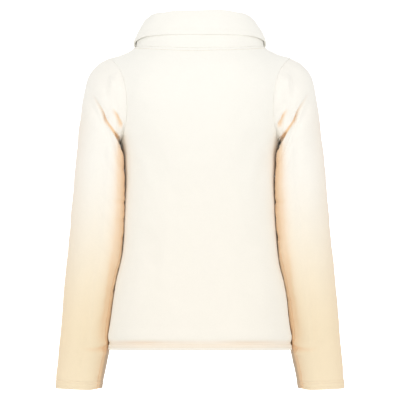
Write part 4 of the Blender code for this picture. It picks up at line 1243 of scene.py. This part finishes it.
TAPE_GAP, TAPE_THICKNESS, TAPE_IN_X, TAPE_OUT_X = 0.0006, 0.0007, 0.0028, 0.0160
TAPE_END = 0.0035  # below the neck seam
TAPE_COLUMNS = (0.0, 0.02, 0.08, 0.3, 0.6, 0.92, 0.98, 1.0)
TAPE_ROUND = (0.35, 0.75, 1.0, 1.0, 1.0, 1.0, 0.75, 0.35)
TAPE_ROWS = 180
TAPE_SHADES = (0.74, 0.65, 0.52, 1), (0.84, 0.77, 0.65, 1)
YARN_SCALE, ZIGZAG, RIB_RATE, RIB_DARK, RIB_LIGHT = 900.0, 0.0011, 7800.0, 0.82, 0.22
RIB_STRENGTH, RIB_DEPTH = 0.5, 0.00015
PIECE_GAP = 0.0003
SLIDER_ROW, SLIDER_HALF_LENGTH, WEDGE_LENGTH = 2, 0.0055, 0.0030
BOX_RISE, BOX_LENGTH, BOX_HALF_WIDTH, BOX_HALF_DEPTH = 0.0020, 0.0095, 0.0042, 0.0018
TOOTH_PITCH = 0.00256
TOOTH_CLAMP = ((0.0009, -0.00062, -0.00120), (0.0025, 0.00062, 0.00120))
TOOTH_HEAD = ((-0.0008, -0.00050, -0.00095), (0.0012, 0.00050, 0.00095))
TOOTH_BEVEL, TOOTH_SHARP = 0.00016, 40
TOOTH_SHADES = (0.80, 0.72, 0.60, 1), (0.86, 0.79, 0.67, 1)
TOOTH_TONE, TOOTH_GRAIN, TOOTH_DENTS = 420.0, 2200.0, 3000.0
TOOTH_ROUGH, TOOTH_UNEVEN, DENT_STRENGTH, DENT_DEPTH = 0.36, 0.14, 0.2, 0.0001


def zip_line(fine):
    """The tape's middle on the centre plane, its outward normal, and the step back at its outer
    edge, up the inner faces of the fronts."""
    places = patch_places(FRONT, fine)[:, : fine + 1 : fine]
    turn, down = places[..., 0], places[..., 1]
    inner = body_point(turn, down) - WALL * body_normal(turn, down)
    edge, beside = inner[:, 0], inner[:, 1]
    centre = edge * np.array([0.0, 1.0, 1.0])
    normal = unit(np.cross(np.array([1.0, 0.0, 0.0]), np.gradient(centre, axis=0)))
    middle = centre - normal * (TAPE_GAP + TAPE_THICKNESS / 2)
    share = (TAPE_OUT_X - edge[:, 0]) / (beside[:, 0] - edge[:, 0])
    return middle, normal, share * (beside[:, 1] - edge[:, 1])


def read_line(line, wanted):
    """A zip line at these heights."""
    middle, normal, step_back = line
    heights = middle[:, 2]
    points = np.stack([np.interp(wanted, heights, middle[:, k]) for k in range(3)], -1)
    normals = np.stack([np.interp(wanted, heights, normal[:, k]) for k in range(3)], -1)
    return points, unit(normals), np.interp(wanted, heights, step_back)


def frame_on(line, row):
    """A frame on the zip in the middle of a grid stretch: x across, y up the zip, z outwards."""
    start, end = line[0][row], line[0][row + 1]
    up = Vector(end - start).normalized()
    across = Vector((1, 0, 0))
    turned_frame = Matrix((across, up, across.cross(up))).transposed().to_4x4()
    return Matrix.Translation(Vector((start + end) / 2)) @ turned_frame


def bevelled_block(low, high, bevel, segments=1):
    low, high = Vector(low), Vector(high)
    shape = bmesh.new()
    placed = Matrix.Translation((low + high) / 2) @ Matrix.Diagonal((*(high - low), 1))
    bmesh.ops.create_cube(shape, size=1, matrix=placed)
    settings = {"offset": bevel, "segments": segments, "profile": 0.5, "affect": "EDGES"}
    bmesh.ops.bevel(shape, geom=shape.edges[:], **settings)
    return shape


def points_and_faces(shapes):
    """The shapes' points and faces as one mesh, freeing them."""
    points, faces = [], []
    for shape in shapes:
        shape.verts.index_update()
        faces += [[len(points) + vert.index for vert in face.verts] for face in shape.faces]
        points += [tuple(vert.co) for vert in shape.verts]
        shape.free()
    return np.array(points), faces


coarse_line, fine_line = zip_line(1), zip_line(FINE)
slider_frame = frame_on(coarse_line, len(coarse_line[0]) - 2 - SLIDER_ROW)
box_top = HEM_Z + BOX_RISE + BOX_LENGTH
tape_low, tape_high = box_top + PIECE_GAP, coarse_line[0][-1, 2] - TAPE_END

woven_tape, shader, place = start_material("zip_tape_cloth", {"Roughness": 0.85, "Sheen Weight": 0.1})
x = place.node("ShaderNodeSeparateXYZ", {}, {"Vector": place}, output=0)
z = place.node("ShaderNodeSeparateXYZ", {}, {"Vector": place}, output=2)
along = RIB_RATE * (z + x.math("PINGPONG", x, ZIGZAG))
ribs = 0.5 + 0.5 * along.node("ShaderNodeMath", {"operation": "SINE"}, {0: along})
cloth_colour = mixed(noise(place, YARN_SCALE), *TAPE_SHADES)
connect(brightened(cloth_colour, RIB_DARK + RIB_LIGHT * ribs), shader, "Base Color")
add_bump(ribs, shader, RIB_STRENGTH, RIB_DEPTH)

for side, word in ((1, "left"), (-1, "right")):
    middle, normals, step_back = read_line(fine_line, np.linspace(tape_low, tape_high, TAPE_ROWS))
    share = np.array(TAPE_COLUMNS)[:, None]
    across = (TAPE_IN_X + share * (TAPE_OUT_X - TAPE_IN_X)) * np.array([side, 0.0, 0.0])
    back_by = np.stack([0 * step_back, step_back, 0 * step_back], -1)
    points = middle[:, None] + across + share * back_by[:, None]
    half = normals[:, None] * (TAPE_THICKNESS / 2 * np.array(TAPE_ROUND))[:, None]
    both = np.concatenate([(points + half).reshape(-1, 3), (points - half).reshape(-1, 3)])
    tape = faced_out(add_mesh(f"woven_tape_{word}", both, wall_faces(*points.shape[:2]), woven_tape))
    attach(tape, "jacket")
    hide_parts(f"zip_tape_{word}")

tooth_plastic, shader, place = start_material("zip_teeth", {"Specular IOR Level": 0.5})
tone = noise(place, TOOTH_TONE, 1.0)
connect(mixed(tone, *TOOTH_SHADES), shader, "Base Color")
connect(TOOTH_ROUGH + TOOTH_UNEVEN * noise(place, TOOTH_GRAIN), shader, "Roughness")
add_bump(noise(place, TOOTH_DENTS), shader, DENT_STRENGTH, DENT_DEPTH)

blocks = [bevelled_block(*corners, TOOTH_BEVEL) for corners in (TOOTH_CLAMP, TOOTH_HEAD)]
tooth_points, tooth_faces = points_and_faces(blocks)
wedge_foot = slider_frame @ Vector((0, SLIDER_HALF_LENGTH - WEDGE_LENGTH - PIECE_GAP, 0))
heights = np.arange(tape_low + TOOTH_PITCH / 2, wedge_foot.z, TOOTH_PITCH / 2)
middle, normals, _ = read_line(fine_line, heights)
ups = unit(np.gradient(middle, axis=0))
points, faces = [], []
for k in range(len(heights)):
    side = 1 if k % 2 else -1
    across = np.array([side, 0.0, 0.0])
    axes = np.stack([across, ups[k], normals[k]])
    faces += [[k * len(tooth_points) + corner for corner in face] for face in tooth_faces]
    points.append(middle[k] + tooth_points @ axes)
chain = faced_out(add_mesh("moulded_teeth", np.concatenate(points), faces, tooth_plastic), TOOTH_SHARP)
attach(chain, "jacket")
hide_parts("zip_chain")


# ---------------------------------------------------------------- the slider, stops and box
# Cast metal with a satin plating: a slider of two plates, a wedge and a bridge, at the top of the
# closed zip, two stops clamped on the tapes above it, and a box that holds the zip's lower end.

SLIDER_OUTLINE = [(0.0, 0.0055), (0.0030, 0.0054), (0.0046, 0.0036), (0.0044, 0.0005)]
SLIDER_OUTLINE += [(0.0036, -0.0052), (0.0030, -0.0055), (0.0, -0.0055)]
PLATE_NEAR, PLATE_FAR = 0.0016, 0.0027
LIP_NEAR, LIP_WIDTH, LIP_OUT_X, LIP_LOW_Y, LIP_HIGH_Y = 0.0008, 0.0009, 0.0042, -0.0046, 0.0040
WEDGE_HALF_WIDTH, WEDGE_SHORT = 0.0012, 0.0004
CORNER_STEPS, SLIDER_CORNER, ARCH_STEPS = 4, 0.0010, 12
PIVOT_RADIUS, PIVOT_GAP = 0.0006, 0.00045
BRIDGE_HALF_WIDTH, BRIDGE_HALF_WALL, BRIDGE_RADIUS = 0.0008, 0.00045, 0.0015
PIVOT_HEIGHT = PLATE_FAR + PIVOT_GAP + PIVOT_RADIUS
METAL_BEVEL, METAL_SHARP = 0.00022, 35
STOP_IN_X, STOP_RISE, STOP_LENGTH, STOP_BLOCK = 0.0007, 0.0025, 0.0040, 0.52
CHAIN_HALF_WIDTH, CHAIN_HALF_DEPTH = 0.0025, 0.0012

BOX_CORNER, BOX_BEVEL, BOX_SLOT_HALF, BOX_SLOT_LOW, BOX_SLOT_HIGH = 0.0012, 0.0004, 0.0002, 0.0040, 0.0086
BOX_BARS, BAR_FROM, BAR_PITCH, BAR_HALF_WIDTH, BAR_HEIGHT = 3, 0.0012, 0.0009, 0.0030, 0.0004
BAR_SUNK, BAR_PROUD, BAR_BEVEL = 0.0003, 0.0002, 0.0001
METAL_SHADES = (0.40, 0.39, 0.37, 1), (0.52, 0.51, 0.48, 1)
GRAIN_SCALE, WORN_SCALE, METAL_ROUGH, GRAIN_ROUGH, WORN_ROUGH = 1800.0, 260.0, 0.30, 0.16, 0.08
GRAIN_STRENGTH, GRAIN_DEPTH = 0.15, 0.00008

satin_metal, shader, place = start_material("zip_metal", {"Metallic": 1.0})
grain = noise(place, GRAIN_SCALE, 3.0)
worn = noise(place, WORN_SCALE)
connect(mixed(worn, *METAL_SHADES), shader, "Base Color")
connect(METAL_ROUGH + GRAIN_ROUGH * grain + WORN_ROUGH * worn, shader, "Roughness")
add_bump(grain, shader, GRAIN_STRENGTH, GRAIN_DEPTH)


def outline_round(corners, radius, steps=CORNER_STEPS):
    """The outline with each corner rounded by an arc-like curve."""
    corners = np.array(corners)
    before, after = np.roll(corners, 1, axis=0), np.roll(corners, -1, axis=0)
    points = []
    for corner, last, following in zip(corners, before, after):
        reach_in = min(radius, np.linalg.norm(last - corner) / 2)
        reach_out = min(radius, np.linalg.norm(following - corner) / 2)
        start = corner + unit(last - corner) * reach_in
        end = corner + unit(following - corner) * reach_out
        for share in np.linspace(0, 1, steps + 1):
            rest = 1 - share
            points.append(rest**2 * start + 2 * rest * share * corner + share**2 * end)
    return points


def cut_plate(outlines, low, high, bevel):
    """A plate with these outlines, the first its edge and the others holes, with rounded edges."""
    curve = bpy.data.curves.new("outline", "CURVE")
    curve.dimensions, curve.fill_mode = "2D", "BOTH"
    curve.extrude, curve.bevel_depth, curve.offset = (high - low) / 2 - bevel, bevel, -bevel
    curve.bevel_resolution = 1
    for outline in outlines:
        strand = curve.splines.new("POLY")
        strand.points.add(len(outline) - 1)
        strand.points.foreach_set("co", [v for x, y in outline for v in (x, y, 0.0, 1.0)])
        strand.use_cyclic_u = True
    holder = bpy.data.objects.new("outline", curve)
    bpy.context.scene.collection.objects.link(holder)
    graph = bpy.context.evaluated_depsgraph_get()
    shape = bmesh.new()
    shape.from_mesh(holder.evaluated_get(graph).to_mesh())
    bpy.data.objects.remove(holder)
    bmesh.ops.remove_doubles(shape, verts=shape.verts, dist=1e-6)
    bmesh.ops.translate(shape, verts=shape.verts, vec=(0, 0, (low + high) / 2))
    return shape


def swept_bar(path, half_width, half_wall):
    """A bar with chamfered corners along a path in its yz plane, with its width across x."""
    path = np.array(path)
    along = unit(np.gradient(path, axis=0))
    off = np.stack([-along[:, 1], along[:, 0]], -1)
    w, t, cut = half_width, half_wall, METAL_BEVEL
    section = [(w, t - cut), (w - cut, t), (cut - w, t), (-w, t - cut)]
    section += [(-w, cut - t), (cut - w, -t), (w - cut, -t), (w, cut - t)]
    shape = bmesh.new()
    loops_made = []
    for place, side in zip(path, off):
        ring = [(x, *(place + side * rise)) for x, rise in section]
        loops_made.append([shape.verts.new(corner) for corner in ring])
    for near, far in zip(loops_made, loops_made[1:]):
        for k in range(len(section)):
            following = (k + 1) % len(section)
            shape.faces.new([near[k], near[following], far[following], far[k]])
    shape.faces.new(loops_made[0][::-1])
    shape.faces.new(loops_made[-1])
    return shape


def add_metal(name, shapes, frame_at, node, body):
    points, faces = points_and_faces(shapes)
    placed = points @ np.array(frame_at.to_3x3()).T + np.array(frame_at.translation)
    piece = faced_out(add_mesh(name, placed, faces, satin_metal), METAL_SHARP)
    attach(piece, body)
    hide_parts(node)


corner_points = CORNER_STEPS + 1
half_outline = outline_round(SLIDER_OUTLINE, SLIDER_CORNER)[corner_points:-corner_points]
outline = half_outline + [np.array([-x, y]) for x, y in half_outline[::-1]]
shapes = [cut_plate([outline], PLATE_NEAR, PLATE_FAR, METAL_BEVEL)]
shapes.append(cut_plate([outline], -PLATE_FAR, -PLATE_NEAR, METAL_BEVEL))
in_plate = (PLATE_NEAR + PLATE_FAR) / 2
for edge in (-1, 1):
    for low, high in ((LIP_NEAR, in_plate), (-in_plate, -LIP_NEAR)):
        in_x, out_x = sorted((edge * (LIP_OUT_X - LIP_WIDTH), edge * LIP_OUT_X))
        corners = (in_x, LIP_LOW_Y, low), (out_x, LIP_HIGH_Y, high)
        shapes.append(bevelled_block(*corners, METAL_BEVEL / 2))
wide, foot = WEDGE_HALF_WIDTH, SLIDER_HALF_LENGTH - WEDGE_LENGTH
corners = (-wide, foot, -in_plate), (wide, SLIDER_HALF_LENGTH - WEDGE_SHORT, in_plate)
shapes.append(bevelled_block(*corners, METAL_BEVEL))
arch = [(-BRIDGE_RADIUS, in_plate)]
for angle in np.linspace(np.pi, 0, ARCH_STEPS + 1):
    arch.append((BRIDGE_RADIUS * np.cos(angle), PIVOT_HEIGHT + BRIDGE_RADIUS * np.sin(angle)))
arch.append((BRIDGE_RADIUS, in_plate))
shapes.append(swept_bar(arch, BRIDGE_HALF_WIDTH, BRIDGE_HALF_WALL))
add_metal("slider_body", shapes, slider_frame, "zip_slider", "jacket")

stop_low = SLIDER_HALF_LENGTH + STOP_RISE
for side, word in ((1, "left"), (-1, "right")):
    shapes = []
    for k in range(2):
        low_y = stop_low + k * STOP_LENGTH / 2
        in_x, out_x = sorted((side * STOP_IN_X, side * CHAIN_HALF_WIDTH))
        high_y = low_y + STOP_BLOCK * STOP_LENGTH
        low, high = (in_x, low_y, -CHAIN_HALF_DEPTH), (out_x, high_y, CHAIN_HALF_DEPTH)
        shapes.append(bevelled_block(low, high, METAL_BEVEL, 2))
    add_metal(f"top_stop_{word}", shapes, slider_frame, f"zip_stop_{word}", "jacket")

foot_frame = frame_on(coarse_line, 0)
foot_frame.translation = Vector(read_line(coarse_line, np.array([HEM_Z + BOX_RISE]))[0][0])
wide, deep = BOX_HALF_WIDTH, BOX_HALF_DEPTH
box_outline = [(-wide, 0), (wide, 0), (wide, BOX_LENGTH), (-wide, BOX_LENGTH)]
slot_outline = [(-BOX_SLOT_HALF, BOX_SLOT_LOW), (BOX_SLOT_HALF, BOX_SLOT_LOW)]
slot_outline += [(BOX_SLOT_HALF, BOX_SLOT_HIGH), (-BOX_SLOT_HALF, BOX_SLOT_HIGH)]
shapes = [cut_plate([outline_round(box_outline, BOX_CORNER), slot_outline], -deep, deep, BOX_BEVEL)]
for k in range(BOX_BARS):
    low_y = BAR_FROM + BAR_PITCH * k
    low = (-BAR_HALF_WIDTH, low_y, deep - BAR_SUNK)
    high = (BAR_HALF_WIDTH, low_y + BAR_HEIGHT, deep + BAR_PROUD)
    shapes.append(bevelled_block(low, high, BAR_BEVEL))
add_metal("bottom_box", shapes, foot_frame, "zip_box", "jacket")


# ---------------------------------------------------------------- the pull tab
# A flat tab of the same metal, slotted over a round bar that turns under the slider's bridge. Its
# edges are rounded, and low ridges near its end give a grip.

PULL_LENGTH, PULL_HALF_WIDTH = 0.0300, 0.0034
SLOT_HALF_WIDTH, SLOT_LENGTH = 0.0013, 0.0042
TAB_TOP, TAB_CORNER, TAB_END_STEPS, SLOT_CORNER = 0.0001, 0.0008, 8, 0.0006
PIN_SIDES, PIN_SHORT = 20, 0.0006
GRIPS, GRIP_PITCH, GRIP_FROM, GRIP_WIDTH, GRIP_HALF_LENGTH = 6, 0.0016, -0.0265, 0.0007, 0.0024
GRIP_SUNK, GRIP_PROUD, GRIP_BEVEL = 0.0002, 0.00018, 0.00012

wide, thick = PULL_HALF_WIDTH, PIVOT_RADIUS
tab = [(wide, TAB_TOP), (-wide, TAB_TOP), (-wide, -PULL_LENGTH), (wide, -PULL_LENGTH)]
slot = [(SLOT_HALF_WIDTH, -thick), (-SLOT_HALF_WIDTH, -thick)]
slot += [(-SLOT_HALF_WIDTH, -SLOT_LENGTH), (SLOT_HALF_WIDTH, -SLOT_LENGTH)]
tab_outline = outline_round(tab[:2], TAB_CORNER)
tab_outline += outline_round(tab, wide, TAB_END_STEPS)[2 * (TAB_END_STEPS + 1) :]
shapes = [cut_plate([tab_outline, outline_round(slot, SLOT_CORNER)], -thick, thick, METAL_BEVEL)]
bar = bmesh.new()
turned_bar = Matrix.Rotation(np.pi / 2, 4, "Y")
sizes = {"radius1": PIVOT_RADIUS, "radius2": PIVOT_RADIUS, "depth": 2 * wide - PIN_SHORT}
bmesh.ops.create_cone(bar, cap_ends=True, segments=PIN_SIDES, matrix=turned_bar, **sizes)
shapes.append(bar)
for k in range(GRIPS):
    low_y = GRIP_FROM + k * GRIP_PITCH
    for face in (-1, 1):
        low_z, high_z = sorted((face * (thick - GRIP_SUNK), face * (thick + GRIP_PROUD)))
        low = (-GRIP_HALF_LENGTH, low_y, low_z)
        high = (GRIP_HALF_LENGTH, low_y + GRIP_WIDTH, high_z)
        shapes.append(bevelled_block(low, high, GRIP_BEVEL))
on_bar = slider_frame @ Matrix.Translation((0, 0, PIVOT_HEIGHT))
add_metal("pull_tab", shapes, on_bar, "zip_pull", "pull")


# ---------------------------------------------------------------- the studio
# A pale floor at the height that the jacket's wearer would stand on, a soft white room with a lit
# screen, and soft boxes above and to the sides. The camera stands behind the jacket, a bit low.

FLOOR_Z, FLOOR_SIZE = -1.36, 16.0
Softbox = namedtuple("Softbox", "name place size power colour")
SOFTBOXES = [
    Softbox("key", (0.0, 2.6, 2.5), 2.2, 20, (1.0, 0.99, 0.97)),
    Softbox("left_side", (2.65, 2.4, 0.2), 1.6, 22, (1.0, 0.98, 0.95)),
    Softbox("right_side", (-2.65, 2.4, 0.2), 1.6, 22, (1.0, 0.98, 0.95)),
    Softbox("front_key", (0.6, -3.0, 1.8), 2.0, 22, (1.0, 0.99, 0.97)),
    Softbox("front_fill", (-0.4, -4.6, 0.1), 1.8, 18, (1.0, 0.98, 0.95)),
]
ROOM, ROOM_STRENGTH = (1.0, 1.0, 1.0, 1), 0.72
BACKDROP_PLACE, BACKDROP_SIZE = (0.0, -7.5, 0.64), 4.0
FLOOR_SHADES = (0.86, 0.86, 0.85, 1), (0.90, 0.90, 0.89, 1)
SCREEN_SHADES = (1, 1, 1, 1), (0.995, 1, 1, 1)
PAINT_SCALE, STAGE_STEPS = 1.5, 8
LIGHTS_AIM, CAMERA_PLACE, CAMERA_AIM = (0, 0, -0.25), (0, 4.0, -0.52), (0, 0, -0.285)
LENS, SENSOR = 189, 36


def aimed(thing, target):
    thing.rotation_euler = (Vector(target) - thing.location).to_track_quat("-Z", "Y").to_euler()


def flat_stage(name, size, place, turn, material):
    shape = bmesh.new()
    bmesh.ops.create_grid(shape, x_segments=STAGE_STEPS, y_segments=STAGE_STEPS, size=size / 2)
    mesh = bpy.data.meshes.new(name)
    shape.to_mesh(mesh)
    shape.free()
    mesh.materials.append(material)
    flat = bpy.data.objects.new(name, mesh)
    flat.location, flat.rotation_euler = place, turn
    bpy.context.scene.collection.objects.link(flat)
    flat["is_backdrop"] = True


floor_paint, shader, place = start_material("floor_paint", {"Roughness": 0.8})
connect(mixed(noise(place, PAINT_SCALE), *FLOOR_SHADES), shader, "Base Color")
flat_stage("floor", FLOOR_SIZE, (0, 0, FLOOR_Z), (0, 0, 0), floor_paint)
lit_screen, shader, place = start_material("lit_screen", {"Roughness": 1.0, "Emission Strength": 1.0})
connect(mixed(noise(place, PAINT_SCALE), *SCREEN_SHADES), shader, "Emission Color")
flat_stage("backdrop", BACKDROP_SIZE, BACKDROP_PLACE, (np.pi / 2, 0, 0), lit_screen)

for softbox in SOFTBOXES:
    light = bpy.data.objects.new(softbox.name, bpy.data.lights.new(softbox.name, "AREA"))
    light.data.energy, light.data.size, light.data.color = softbox.power, softbox.size, softbox.colour
    light.location = softbox.place
    light.visible_camera = False
    aimed(light, LIGHTS_AIM)
    bpy.context.scene.collection.objects.link(light)

room = bpy.data.worlds.new("white_room")
room.use_nodes = True
room.node_tree.nodes["Background"].inputs["Color"].default_value = ROOM
room.node_tree.nodes["Background"].inputs["Strength"].default_value = ROOM_STRENGTH
bpy.context.scene.world = room
bpy.context.scene.view_settings.view_transform = "Standard"

camera = bpy.data.objects.new("camera", bpy.data.cameras.new("camera"))
camera.location = CAMERA_PLACE
camera.data.lens, camera.data.sensor_width = LENS, SENSOR
aimed(camera, CAMERA_AIM)
bpy.context.scene.collection.objects.link(camera)
bpy.context.scene.camera = camera

sizes = {"cad": [list(corner) for corner in cad_box]}
sizes["visual"] = [list(corner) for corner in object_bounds()]
